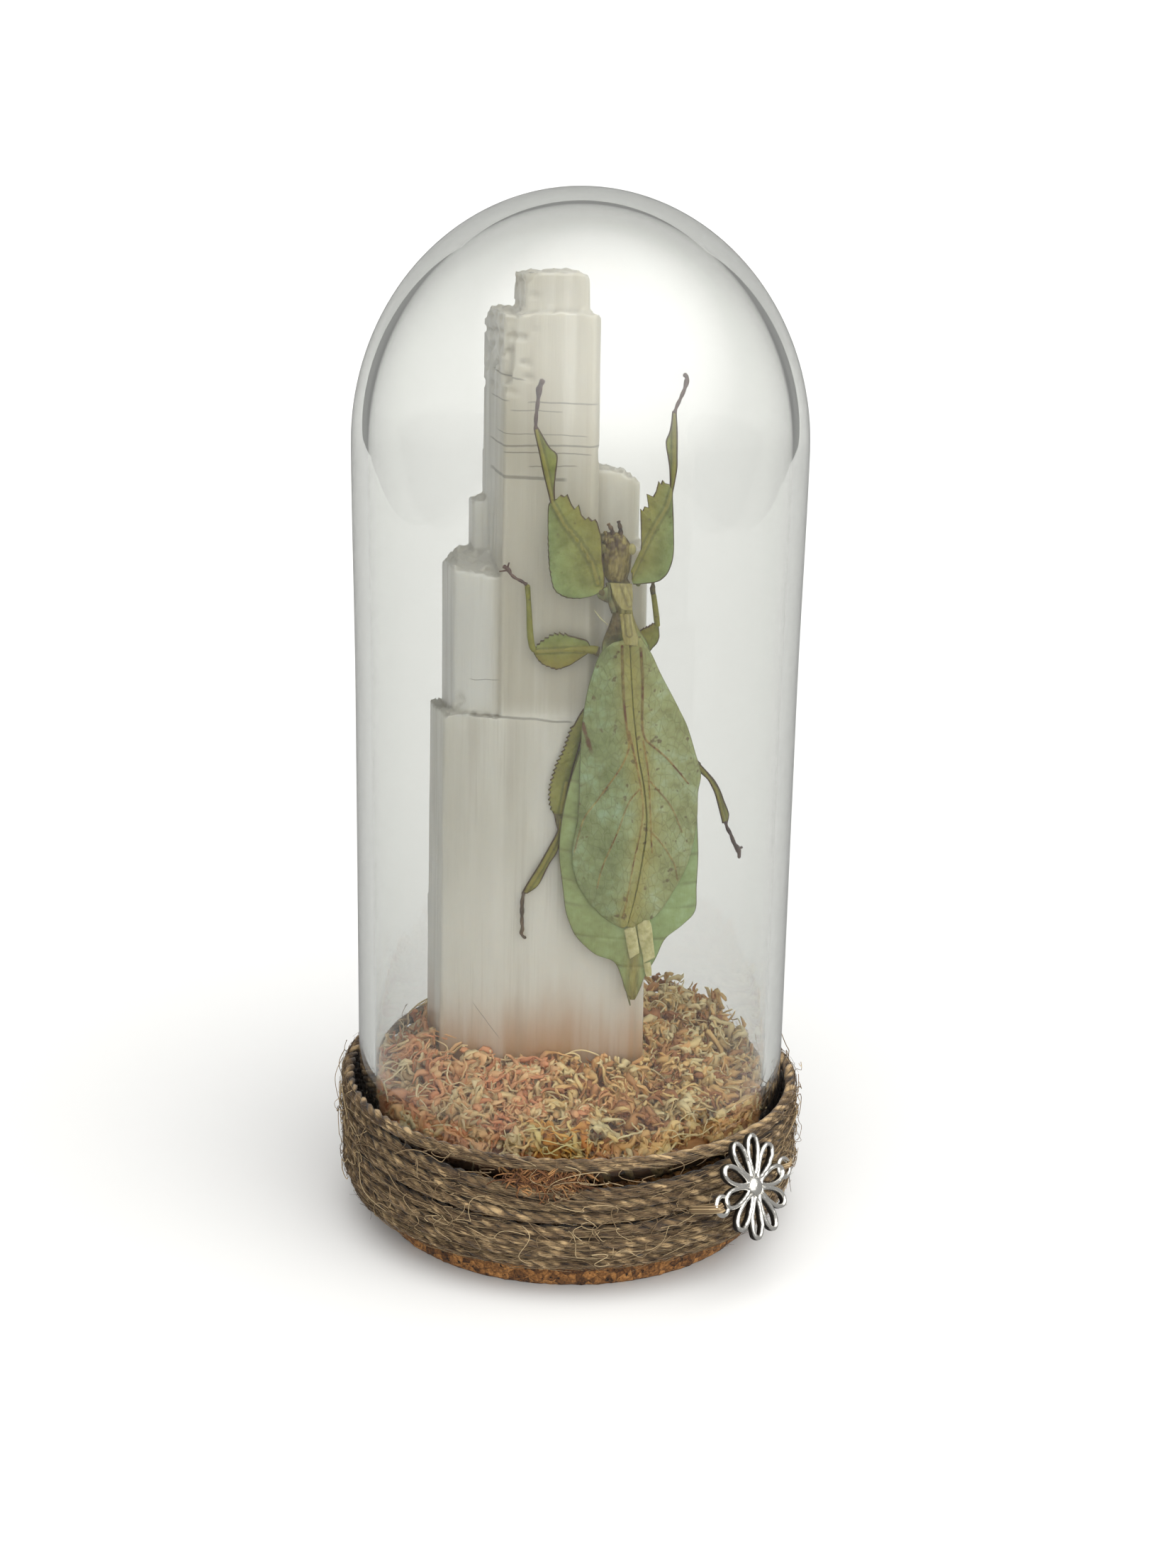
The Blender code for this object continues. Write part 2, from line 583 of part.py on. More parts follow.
def make_wing(name, outer_edge, side):
    """A cambered forewing between the midline and its outer edge; side is -1 on the left."""
    shape = bmesh.new()
    bmesh.ops.create_grid(shape, x_segments=5, y_segments=16, size=0.5)
    for vert in shape.verts:
        across, down = vert.co.x + 0.5, vert.co.y + 0.5
        inner_x, inner_z = along(WING_MIDLINE, down)
        outer_x, outer_z = along(outer_edge, down)
        x = (inner_x + side * GAP * 0.6) * (1 - across) + outer_x * across
        z = inner_z * (1 - across) + outer_z * across
        rise = min(max((z + 4.0) / 5.5, 0.0), 1.0)
        y = WING_Y - WING_ROOT_LIFT * rise * rise * (3 - 2 * rise) + WING_CAMBER * across**2
        vert.co = Vector(on_insect(x, z, y)) * MM
    mesh = bpy.data.meshes.new("wing")
    shape.to_mesh(mesh)
    shape.free()
    sheet = bpy.data.objects.new("wing", mesh)
    bpy.context.scene.collection.objects.link(sheet)
    wall = sheet.modifiers.new("thickness", "SOLIDIFY")
    wall.thickness = WING_T * MM
    wall.offset = 0.0
    return keep(name, evaluated_mesh(sheet), WING_GREEN, 60.0)


def make_legs():
    """Six legs; each is its lobes, ribs, foot and hip joined in one solid."""
    legs = {
        "foreleg_left": [
            lobe(LEFT_FORE_FEMUR, FORELEG_Y, FEMUR_T),
            lobe(LEFT_FORE_TIBIA, FORELEG_Y, TIBIA_T),
            flat_limb([(-13.4, 25.2), (-11.4, 21.2), (-8.2, 17.3), (-5.4, 11.0)], 0.42, FORELEG_Y),
            flat_limb([(-16.6, 37.2), (-16.6, 39.4), (-16.2, 43.3), (-16.1, 44.5), (-15.7, 45.5),
                       (-15.4, 46.1)], (0.32, 0.32, 0.3, 0.38, 0.55, 0.45), FORELEG_Y),
            limb([(-5.4, 9.9, FORELEG_Y), (-4.6, 9.0, -8.4), (-3.85, 7.9, -7.3)], (0.5, 0.7, 0.45)),
        ],
        "foreleg_right": [
            lobe(RIGHT_FORE_FEMUR, FORELEG_Y, FEMUR_T),
            lobe(RIGHT_FORE_TIBIA, FORELEG_Y, TIBIA_T),
            flat_limb([(6.9, 27.8), (6.2, 24.7), (3.8, 20.4), (0.9, 13.0)], 0.42, FORELEG_Y),
            flat_limb([(7.0, 40.6), (7.4, 41.9), (8.0, 43.3), (8.6, 44.8), (8.9, 46.0), (8.9, 46.9),
                       (8.3, 47.4)], (0.35, 0.32, 0.34, 0.34, 0.38, 0.45, 0.35), FORELEG_Y),
            limb([(1.7, 12.0, FORELEG_Y), (1.8, 11.4, -8.2), (1.6, 10.4, -7.2)], (0.5, 0.6, 0.45)),
        ],
        "midleg_left": [
            lobe(LEFT_MID_FEMUR, MIDLEG_Y, FEMUR_T),
            flat_limb([(-5.05, -2.3), (-6.0, -2.0), (-9.0, -1.9), (-16.3, -2.4)],
                      (0.8, 0.6, 0.4, 0.35), MIDLEG_Y),
            flat_limb([(-16.2, -2.5), (-16.9, -1.5), (-17.3, 1.1), (-17.6, 6.3), (-17.9, 9.8)],
                      (0.5, 0.55, 0.52, 0.42, 0.46), MIDLEG_Y),
            flat_limb([(-17.9, 9.6), (-19.0, 10.3), (-20.0, 10.8), (-20.8, 11.5), (-21.2, 12.2),
                       (-22.2, 13.0)], (0.35, 0.28, 0.28, 0.28, 0.4, 0.4), MIDLEG_Y),
            flat_limb([(-21.4, 12.2), (-22.9, 11.9)], (0.2, 0.14), MIDLEG_Y),
            flat_limb([(-21.5, 12.4), (-21.1, 13.6)], (0.2, 0.14), MIDLEG_Y),
        ],
        "midleg_right": [
            lobe(RIGHT_MID_FEMUR, MIDLEG_Y, FEMUR_T),
            flat_limb([(5.3, 2.4), (5.0, 4.7), (4.7, 6.7), (4.3, 9.6)], (0.5, 0.52, 0.48, 0.45), MIDLEG_Y),
            flat_limb([(4.3, 9.4), (4.3, 10.8), (4.4, 12.4), (5.1, 14.0)], (0.45, 0.3, 0.28, 0.35), MIDLEG_Y),
        ],
        "hindleg_left": [
            lobe(LEFT_HIND_FEMUR, HINDLEG_Y, FEMUR_T),
            lobe(LEFT_HIND_TIBIA, HINDLEG_Y, TIBIA_T),
            limb([(-6.0, -12.6, HINDLEG_Y), (-5.9, -9.5, -4.95), (-5.3, -6.0, -5.2)], (0.27, 0.3, 0.4)),
            flat_limb([(-17.9, -48.0), (-18.2, -50.1), (-18.2, -52.2), (-18.2, -53.9), (-18.1, -55.4),
                       (-18.3, -56.2), (-17.9, -56.9), (-17.3, -57.2)],
                      (0.34, 0.3, 0.38, 0.36, 0.34, 0.36, 0.34, 0.3), HINDLEG_Y),
        ],
        "hindleg_right": [
            lobe(RIGHT_HIND_FEMUR, HINDLEG_Y, FEMUR_T),
            lobe(RIGHT_HIND_TIBIA, HINDLEG_Y, TIBIA_T),
            flat_limb([(18.6, -33.6), (19.0, -35.0), (19.7, -36.3), (20.4, -38.0), (21.0, -38.9),
                       (21.4, -39.9), (21.4, -41.0)], (0.4, 0.3, 0.36, 0.36, 0.45, 0.5, 0.25), HINDLEG_Y),
            flat_limb([(21.0, -39.2), (22.0, -38.7)], (0.2, 0.22), HINDLEG_Y),
        ],
    }
    for name, pieces in legs.items():
        keep(name, combine(pieces[0], pieces[1:]), LEG_GREEN, 35.0)


# --- the whole keepsake -------------------------------------------------------------------

make_cork()
make_dome()
make_twine()
make_moss()
make_tower()
make_charm()
make_body()
make_wing("forewing_left", WING_LEFT_EDGE, -1)
make_wing("forewing_right", WING_RIGHT_EDGE, 1)
make_legs()
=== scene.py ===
# %% [markdown]
# # A leaf insect on a crystal tower, under a glass dome
#
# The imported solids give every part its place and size, and this lesson dresses them. Each
# step looks at one part, says how it is made in life, and works out its surface with numpy:
# stage and glass, then cork, twine and moss, and then crystal, insect and silver charm.

import math

import bmesh
import bpy
import numpy as np
from mathutils import Matrix, Vector


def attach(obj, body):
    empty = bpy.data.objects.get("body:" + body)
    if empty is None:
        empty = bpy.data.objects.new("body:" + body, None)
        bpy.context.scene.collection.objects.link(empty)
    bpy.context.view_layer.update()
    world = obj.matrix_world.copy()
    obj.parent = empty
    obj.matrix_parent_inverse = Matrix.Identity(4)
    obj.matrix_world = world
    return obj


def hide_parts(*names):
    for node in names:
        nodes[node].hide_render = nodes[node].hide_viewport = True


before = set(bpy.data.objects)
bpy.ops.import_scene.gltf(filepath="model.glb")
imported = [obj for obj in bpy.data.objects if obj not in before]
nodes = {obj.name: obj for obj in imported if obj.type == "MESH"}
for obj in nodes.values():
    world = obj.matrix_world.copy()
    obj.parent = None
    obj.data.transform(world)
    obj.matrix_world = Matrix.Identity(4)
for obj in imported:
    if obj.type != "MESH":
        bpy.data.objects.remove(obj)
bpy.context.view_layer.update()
MM = 0.001
print("solids:", ", ".join(sorted(nodes)))

# %% [markdown]
# ## The camera
#
# The photograph looks down on the dome by about 17 degrees, from a little over 40 cm away.

# %% The camera, at the photograph's place
CAMERA_PLACE = (0.0, -0.4245, 0.2125)
CAMERA_DOWN, CAMERA_YAW, CAMERA_ROLL = map(math.radians, (16.9, 0.33, 1.09))
FOCAL_SHARE = 3400.0 / 2212.0
SENSOR = 36.0
NEAR_CLIP = 0.01


def aim(down, yaw, roll):
    """The turn of a camera that looks down, then to the side, and leans by the roll."""
    ahead = Vector((math.sin(yaw) * math.cos(down), math.cos(yaw) * math.cos(down), -math.sin(down)))
    right = Vector((math.cos(yaw), -math.sin(yaw), 0.0))
    level = Matrix((right, right.cross(ahead), -ahead)).transposed()
    return level @ Matrix.Rotation(roll, 3, "Z")


camera_data = bpy.data.cameras.new("camera")
camera_data.sensor_width = SENSOR
camera_data.lens = SENSOR * FOCAL_SHARE
camera_data.clip_start = NEAR_CLIP
camera = bpy.data.objects.new("camera", camera_data)
turned = aim(CAMERA_DOWN, CAMERA_YAW, CAMERA_ROLL).to_4x4()
camera.matrix_world = Matrix.Translation(CAMERA_PLACE) @ turned
bpy.context.scene.collection.objects.link(camera)
bpy.context.scene.camera = camera
bpy.context.scene.view_settings.view_transform = "Standard"
print("lens", round(camera_data.lens, 2), "mm")

# %% [markdown]
# ## Finishes as expressions
#
# A finish is a small graph of nodes. Wrapping a socket in a class lets Python's own
# operators add the Math nodes, so a mask reads as the sum it is. One method adds any
# other node: its settings go in first, and then the values or links of its sockets.

# %% Values and finishes


class Value:
    """A node's output socket; operators on it add Math nodes."""

    def __init__(self, finish, socket):
        self.finish = finish
        self.socket = socket

    def math(self, operation, first, second=0.0):
        return self.finish.node("ShaderNodeMath", {"operation": operation}, {0: first, 1: second})

    def __add__(self, other):
        return self.math("ADD", self, other)

    def __sub__(self, other):
        return self.math("SUBTRACT", self, other)

    def __rsub__(self, other):
        return self.math("SUBTRACT", other, self)

    def __mul__(self, other):
        return self.math("MULTIPLY", self, other)

    def __abs__(self):
        return self.math("ABSOLUTE", self)

    __radd__ = __add__

    def most(self, other):
        return self.math("MAXIMUM", self, other)

    def rise(self, low, high):
        """0 below low and 1 above high, with a smooth step between; low may be the greater."""
        ends = {"From Min": low, "From Max": high, "To Min": 0.0, "To Max": 1.0}
        settings = {"interpolation_type": "SMOOTHSTEP"}
        return self.finish.node("ShaderNodeMapRange", settings, {"Value": self, **ends})


def ink(red, green, blue):
    """A colour given on the 0 to 255 scale of a screen, as linear light."""
    shares = np.array((red, green, blue)) / 255.0
    linear = np.where(shares > 0.04045, ((shares + 0.055) / 1.055) ** 2.4, shares / 12.92)
    return tuple(float(share) for share in linear) + (1.0,)


class Finish:
    """One material and the short ways to its nodes; coordinates are in millimetres."""

    def __init__(self, name):
        self.material = bpy.data.materials.new(name)
        self.material.use_nodes = True
        self.tree = self.material.node_tree
        self.tree.nodes.clear()
        self.out = self.tree.nodes.new("ShaderNodeOutputMaterial")
        self.coordinates = self.node("ShaderNodeTexCoord", output="Object")

    def node(self, kind, settings=None, inputs=None, output=0):
        made = self.tree.nodes.new(kind)
        for key, value in (settings or {}).items():
            if key == "stops":
                self.set_stops(made.color_ramp, value)
            else:
                setattr(made, key, value)
        for key, value in (inputs or {}).items():
            if isinstance(value, Value):
                self.tree.links.new(value.socket, made.inputs[key])
            else:
                made.inputs[key].default_value = value
        return Value(self, made.outputs[output])

    @staticmethod
    def set_stops(ramp, stops):
        while len(ramp.elements) < len(stops):
            ramp.elements.new(1.0)
        for element, (place, *colour) in zip(ramp.elements, stops):
            element.position = place
            element.color = ink(*colour)

    def grid(self, scale=(1.0, 1.0, 1.0)):
        """Object coordinates in millimetres, stretched."""
        stretch = tuple(s / MM for s in scale)
        return self.node("ShaderNodeMapping", {}, {"Vector": self.coordinates, "Scale": stretch})

    def axis(self, name):
        """One Object coordinate, in millimetres."""
        return self.node("ShaderNodeSeparateXYZ", {}, {0: self.grid()}, name)

    def noise(self, size, scale=(1.0, 1.0, 1.0), detail=3.0, roughness=0.55):
        """Cloudy noise around 0.5, with blotches of a size in millimetres."""
        values = {"Vector": self.grid(scale), "Scale": 1.0 / size, "Detail": detail}
        return self.node("ShaderNodeTexNoise", {}, {**values, "Roughness": roughness})

    def cells(self, size, scale=(1.0, 1.0, 1.0), feature="F1", output="Distance"):
        """Voronoi cells of a size in millimetres."""
        values = {"Vector": self.grid(scale), "Scale": 1.0 / size}
        return self.node("ShaderNodeTexVoronoi", {"feature": feature}, values, output)

    def mark(self, name):
        """A number that the mesh carries at each point."""
        return self.node("ShaderNodeAttribute", {"attribute_name": name}, {}, "Fac")

    def ramp(self, value, *stops):
        """A colour from a value, through stops of (place, red, green, blue)."""
        return self.node("ShaderNodeValToRGB", {"stops": stops}, {"Fac": value})

    def over(self, colour, *layers):
        """Lays colours over the first; each layer is a share of 0 to 1, and then its colour."""
        for share, layer in zip(layers[::2], layers[1::2]):
            first, second = (c if isinstance(c, Value) else ink(*c) for c in (colour, layer))
            sockets = {0: share, 6: first, 7: second}
            colour = self.node("ShaderNodeMix", {"data_type": "RGBA"}, sockets, 2)
        return colour

    def bump(self, height, depth):
        """Fine relief: a height of 0 to 1 stands for a depth in millimetres."""
        return self.node("ShaderNodeBump", {}, {"Height": height, "Distance": depth * MM})

    def surface(self, **sockets):
        """The Principled shader, with sockets named in small letters."""
        titles = [name.replace("_", " ").title().replace("Ior", "IOR") for name in sockets]
        shader = self.node("ShaderNodeBsdfPrincipled", {}, dict(zip(titles, sockets.values())))
        self.tree.links.new(shader.socket, self.out.inputs["Surface"])
        return self


# %% [markdown]
# ## Meshes from arrays
#
# Every new surface is a table of points and a table of faces. A grid's faces follow from
# its rows and columns alone. A closed shape has a signed volume, and if that is negative
# its faces look inwards, so their corners are read backwards.

# %% From arrays to objects


def grid_faces(rows, columns, close_rows=False, close_columns=False):
    """The quads of a grid whose point (row, column) is number row * columns + column."""
    row = np.arange(rows if close_rows else rows - 1)[:, None]
    column = np.arange(columns if close_columns else columns - 1)[None, :]
    next_row, next_column = (row + 1) % rows, (column + 1) % columns
    corners = [(row, column), (row, next_column), (next_row, next_column), (next_row, column)]
    return np.stack([r * columns + c for r, c in corners], axis=-1).reshape(-1, 4)


def signed_volume(points, faces):
    """A sixth of the sum of the triple products of the triangles' corners."""
    total = 0.0
    for group in faces:
        for i in range(1, group.shape[1] - 1):
            a, b, c = points[group[:, 0]], points[group[:, i]], points[group[:, i + 1]]
            total += float(np.einsum("ij,ij->", a, np.cross(b, c))) / 6.0
    return total


def build(name, points, faces, finish, marks=None, closed=True):
    """One object from points in millimetres, groups of faces, a finish and its marks."""
    points = np.asarray(points, float).reshape(-1, 3)
    if closed and signed_volume(points, faces) < 0.0:
        faces = [group[:, ::-1] for group in faces]
    sizes = np.concatenate([np.full(len(group), group.shape[1]) for group in faces])
    corners = np.concatenate([group.ravel() for group in faces])
    mesh = bpy.data.meshes.new(name)
    mesh.vertices.add(len(points))
    mesh.vertices.foreach_set("co", (points * MM).astype(np.float32).ravel())
    mesh.loops.add(len(corners))
    mesh.loops.foreach_set("vertex_index", corners.astype(np.int32))
    mesh.polygons.add(len(sizes))
    mesh.polygons.foreach_set("loop_start", (np.cumsum(sizes) - sizes).astype(np.int32))
    mesh.update(calc_edges=True)
    for mark, values in (marks or {}).items():
        layer = mesh.attributes.new(mark, "FLOAT", "POINT")
        layer.data.foreach_set("value", np.asarray(values, np.float32).ravel())
    return place(name, mesh, finish)


def place(name, mesh, finish):
    mesh.materials.clear()
    mesh.materials.append(finish.material)
    mesh.shade_smooth()
    piece = bpy.data.objects.new(name, mesh)
    bpy.context.scene.collection.objects.link(piece)
    return piece


def weld(piece, distance=0.002):
    """Merges the doubles at seams and poles, and turns all faces outwards."""
    shape = bmesh.new()
    shape.from_mesh(piece.data)
    bmesh.ops.remove_doubles(shape, verts=shape.verts, dist=distance * MM)
    bmesh.ops.dissolve_degenerate(shape, edges=shape.edges, dist=distance * MM)
    bmesh.ops.recalc_face_normals(shape, faces=shape.faces)
    shape.to_mesh(piece.data)
    shape.free()
    return piece


def dress(piece, slot, *replaced):
    """Puts a piece on the keepsake and hides the solids it stands for; the slot is not used."""
    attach(piece, "root")
    if replaced:
        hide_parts(*replaced)
    piece.data.calc_loop_triangles()
    print(piece.name, len(piece.data.loop_triangles), "triangles")


# %% Smooth curves and smooth noise


def step(low, high, value):
    """A smooth step from 0 at low to 1 at high."""
    share = np.clip((value - low) / (high - low), 0.0, 1.0)
    return share * share * (3.0 - 2.0 * share)


def bell(distance, width):
    """1 on a line, falling smoothly to 0 over about twice the width."""
    return np.exp(-((distance / width) ** 2))


def curve(points, count, smooth=True):
    """Points evenly spaced along a line; when smooth, along a Catmull-Rom curve through it."""
    line = np.asarray(points, float)
    if smooth and len(line) > 2:
        padded = np.vstack([2 * line[0] - line[1], line, 2 * line[-1] - line[-2]])
        t = np.linspace(0.0, 1.0, 12, endpoint=False)[:, None]
        a, b, c, d = padded[:-3, None], padded[1:-2, None], padded[2:-1, None], padded[3:, None]
        bend = 2 * a - 5 * b + 4 * c - d + t * (3 * (b - c) + d - a)
        parts = b + 0.5 * t * (c - a + t * bend)
        line = np.vstack([parts.reshape(-1, line.shape[1]), line[-1]])
    run = np.concatenate([[0.0], np.cumsum(np.linalg.norm(np.diff(line, axis=0), axis=1))])
    share = np.linspace(0.0, run[-1], count)
    return np.stack([np.interp(share, run, column) for column in line.T], axis=-1)


def ripple(points, wavelength, seed, waves=14):
    """Smooth noise, mostly within -1 and 1: sine waves of random direction, added up."""
    draw = np.random.default_rng(seed)
    ways = draw.normal(size=(waves, points.shape[-1]))
    ways *= draw.uniform(0.6, 1.5, (waves, 1)) / np.linalg.norm(ways, axis=1, keepdims=True)
    phases = draw.uniform(0.0, 2 * np.pi, waves)
    angles = points @ ways.T * (2 * np.pi / wavelength) + phases
    return np.sin(angles).sum(axis=-1) / math.sqrt(waves)


def unit(vectors):
    return vectors / np.maximum(np.linalg.norm(vectors, axis=-1, keepdims=True), 1e-9)


def full_turn(count):
    """Angles of a full turn, without its end."""
    return np.linspace(0.0, 2 * np.pi, count, endpoint=False)


def ramp_at(value, table):
    """A value read from a table of (place, value), straight between its rows."""
    return np.interp(value, *zip(*table))


# %% [markdown]
# ## The stage
#
# The stage is one pale sweep: its side view runs flat, round a quarter circle and up. A
# bright sky and a darker horizon give clear glass the grey edges that the eye finds it by.

# %% Floor, sky and lamp
FLOOR_FINISH = Finish("pale_floor").surface(base_color=(0.60, 0.60, 0.595, 1.0), roughness=0.9)
SWEEP_START_Y, SWEEP_FRONT_Y = 900.0, -1500.0
SWEEP_RADIUS = 300.0
SWEEP_HALF_WIDTH = 700.0
SWEEP_HEIGHT = 900.0


def sweep_grid():
    """Side points of floor, quarter circle and wall, each carried from left to right."""
    turn = np.linspace(0.0, np.pi / 2, 24)
    bend = np.stack([SWEEP_START_Y + SWEEP_RADIUS * np.sin(turn), SWEEP_RADIUS * (1 - np.cos(turn))], axis=-1)
    side = np.vstack([[SWEEP_FRONT_Y, 0.0], bend, [SWEEP_START_Y + SWEEP_RADIUS, SWEEP_HEIGHT]])
    x, y = np.meshgrid(np.linspace(-SWEEP_HALF_WIDTH, SWEEP_HALF_WIDTH, 5), side[:, 0])
    return np.stack([x, y, np.broadcast_to(side[:, 1:], x.shape)], axis=-1)


sweep = sweep_grid()
floor = build("floor", sweep, [grid_faces(*sweep.shape[:2])], FLOOR_FINISH, closed=False)
floor.visible_glossy = False

KEY_WAY = (0.24, -0.57, 0.79)
KEY_SPREAD = 0.35
SKY_BASE = 0.36
SKY_KEY = 3.95


def studio_sky():
    """A dim even sky with one broad bright part, up and to the right behind the camera."""
    world = bpy.data.worlds.new("studio")
    world.use_nodes = True
    bpy.context.scene.world = world
    add, link = world.node_tree.nodes.new, world.node_tree.links.new
    way = add("ShaderNodeTexCoord")
    towards_key = add("ShaderNodeVectorMath")
    towards_key.operation = "DOT_PRODUCT"
    towards_key.inputs[1].default_value = KEY_WAY
    glow = add("ShaderNodeMapRange")
    glow.interpolation_type = "SMOOTHSTEP"
    ends = {"From Min": KEY_SPREAD, "From Max": 1.0, "To Min": SKY_BASE, "To Max": SKY_KEY}
    for name, value in ends.items():
        glow.inputs[name].default_value = value
    sky = world.node_tree.nodes["Background"].inputs
    sky["Color"].default_value = (1.0, 0.995, 0.98, 1.0)
    link(way.outputs["Generated"], towards_key.inputs[0])
    link(towards_key.outputs["Value"], glow.inputs["Value"])
    link(glow.outputs["Result"], sky["Strength"])


def back_panel(place, target, size, power):
    """A soft light on the sweep, kept out of the glass's reflections; places are in metres."""
    data = bpy.data.lights.new("back_panel", "AREA")
    data.size = size
    data.energy = power
    made = bpy.data.objects.new("back_panel", data)
    made.location = place
    made.rotation_euler = (Vector(target) - Vector(place)).to_track_quat("-Z", "Y").to_euler()
    made.visible_glossy = False
    made.visible_transmission = False
    bpy.context.scene.collection.objects.link(made)


studio_sky()
back_panel((0.0, 0.75, 1.5), (0.0, 1.1, 0.0), 0.9, 0.4)
print("stage ready")

# %% [markdown]
# ## The glass dome
#
# A cloche is blown in one piece, so its wall is even and its rim is melted round. Here the
# solid's profile is turned in many fine steps, inside and outside, and the two walls meet
# in a rounded lip. Clear glass is plain transmission with glass's own IOR, and a faint
# grey-green stands for the light that three millimetres of it swallow.

# %% The dome's wall
DOME_R = 40.0
DOME_SHOULDER_R, DOME_SHOULDER_Z = 40.4, 146.0
DOME_BULGE_Z = 100.0
DOME_TOP_Z = 190.5
GLASS_T = 3.0
GLASS_FOOT_Z = 12.4
DOME_SEGMENTS = 160


def glass_finish():
    """Plain transmission; the body of the glass swallows a little light along its path."""
    glass = Finish("clear_glass")
    glass.surface(base_color=(0.99, 0.99, 0.985, 1.0), roughness=0.0, ior=1.5, transmission_weight=1.0)
    swallowed = {"Color": (0.50, 0.52, 0.49, 1.0), "Density": 118.0}
    body = glass.node("ShaderNodeVolumeAbsorption", {}, swallowed)
    glass.tree.links.new(body.socket, glass.out.inputs["Volume"])
    return glass


def dome_side(inset):
    """Radius and height down one side: a quarter ellipse, then a nearly straight wall."""
    turn = np.linspace(0.0, np.pi / 2, 40)
    shoulder, rise = DOME_SHOULDER_R - inset, DOME_TOP_Z - inset - DOME_SHOULDER_Z
    arc = np.stack([shoulder * np.sin(turn), DOME_SHOULDER_Z + rise * np.cos(turn)], axis=-1)
    wall_z = np.linspace(DOME_SHOULDER_Z, GLASS_FOOT_Z + GLASS_T / 2, 40)[1:]
    bulge = (DOME_SHOULDER_R - DOME_R) * step(DOME_BULGE_Z, DOME_SHOULDER_Z, wall_z)
    return np.vstack([arc, np.stack([DOME_R - inset + bulge, wall_z], axis=-1)])


def revolve(profile, segments):
    """A profile of (radius, height) turned round the upright axis."""
    angle, radius = full_turn(segments), profile[:, :1]
    upward = np.broadcast_to(profile[:, 1:], (len(profile), segments))
    return np.stack([radius * np.cos(angle), radius * np.sin(angle), upward], axis=-1)


def dome_profile():
    """Outside wall down, half a circle for the lip, and inside wall up."""
    turn, half = np.linspace(0.0, np.pi, 10)[1:-1], GLASS_T / 2
    lip = np.stack([DOME_R - half + half * np.cos(turn), GLASS_FOOT_Z + half - half * np.sin(turn)], axis=-1)
    return np.vstack([dome_side(0.0), lip, dome_side(GLASS_T)[::-1]])


profile = dome_profile()
dome_faces = grid_faces(len(profile), DOME_SEGMENTS, close_columns=True)
dome = build("glass_dome_wall", revolve(profile, DOME_SEGMENTS), [dome_faces], glass_finish())
dress(weld(dome), "clear_glass", "glass_dome")

# %% [markdown]
# ## The cork base
#
# The base is pressed cork: crumbs of bark glued in a block and turned on a lathe. Turning
# tears some crumbs out, so the rim is pitted. The profile repeats the solid's, with its
# corners softened, and a fine ripple and small pits go into the mesh itself.

# %% Pressed cork
CORK_PROFILE = [(0.0, 21.0), (36.1, 21.0), (36.5, 20.6), (36.5, 12.0), (39.2, 12.0), (39.6, 11.6),
                (39.6, 10.4), (38.6, 7.3), (37.2, 4.6), (36.9, 3.6), (36.7, 2.2), (36.4, 0.7),
                (35.8, 0.05), (35.2, 0.0), (0.0, 0.0)]
CORK_ROWS, CORK_SEGMENTS = 150, 240
CRUMB = 1.5


def cork_finish():
    """Crumbs in browns from tan to nearly black: nearly black is painted shade in the pits where they fell out.
    """
    cork = Finish("pressed_cork")
    crumb = cork.cells(CRUMB, output="Color")
    crumb_tone = cork.node("ShaderNodeSeparateXYZ", {}, {0: crumb}, "X")
    seams = cork.cells(CRUMB, feature="DISTANCE_TO_EDGE").rise(0.16, 0.0)
    pits = cork.noise(1.1, detail=4.0, roughness=0.6).rise(0.60, 0.68)
    grain = cork.noise(0.5, detail=4.0)
    body = cork.ramp(crumb_tone * 0.35 + grain * 0.65,
                     (0.26, 52, 30, 12), (0.5, 112, 72, 33), (0.74, 176, 124, 68))
    # The pits' nearly black is painted shade inside the holes.
    colour = cork.over(body, seams * 0.25, (44, 24, 8), pits, (16, 8, 3))
    relief = grain * 0.35 - seams * 0.5 - pits
    return cork.surface(base_color=colour, roughness=0.86, normal=cork.bump(relief, 0.3))


def cork_points():
    """The turned profile, moved in and out by noise where the bark's edge shows."""
    points = revolve(curve(CORK_PROFILE, CORK_ROWS, smooth=False), CORK_SEGMENTS)
    outer = step(20.0, 34.0, np.hypot(points[..., 0], points[..., 1]))
    rough = 0.10 * ripple(points, 2.6, 3) + 0.07 * ripple(points, 1.1, 4)
    pits = 0.35 * step(1.15, 1.9, ripple(points, 2.2, 5))
    inward = outer * (pits - rough + 0.12)
    return points - unit(points * (1.0, 1.0, 0.0)) * inward[..., None]


cork_grid = cork_points()
cork_faces = grid_faces(*cork_grid.shape[:2], close_columns=True)
dress(weld(build("cork_foot", cork_grid, [cork_faces], cork_finish())), "cork", "cork_base")

# %% [markdown]
# ## The jute twine
#
# Twine is spun from fibres into plies, and the plies are twisted round each other. It goes
# round the joint eight times. Each ply is a tube carried along a helix round the twine's
# own path. At the front the path follows the heights at which the photograph shows the
# turns, with a gap under the topmost one, and at the sides the turns lie closer.

# %% The path of the twine
TWINE_TURNS = 8
TWINE_LOW_Z, TWINE_HIGH_Z = 4.4, 28.3
FRONT_HEIGHTS = (7.4, 9.6, 11.7, 14.1, 16.7, 18.9, 21.3, 27.0)
SIDE_LIFT = ((0.5, 0.0), (2.6, 0.8), (4.6, 1.5), (6.65, 1.9), (7.05, 0.0))
TWINE_PATH_R = ((4.0, 39.3), (7.5, 41.0), (10.5, 42.05), (30.0, 42.1))
TURN_LENGTH = 2 * np.pi * 42.0


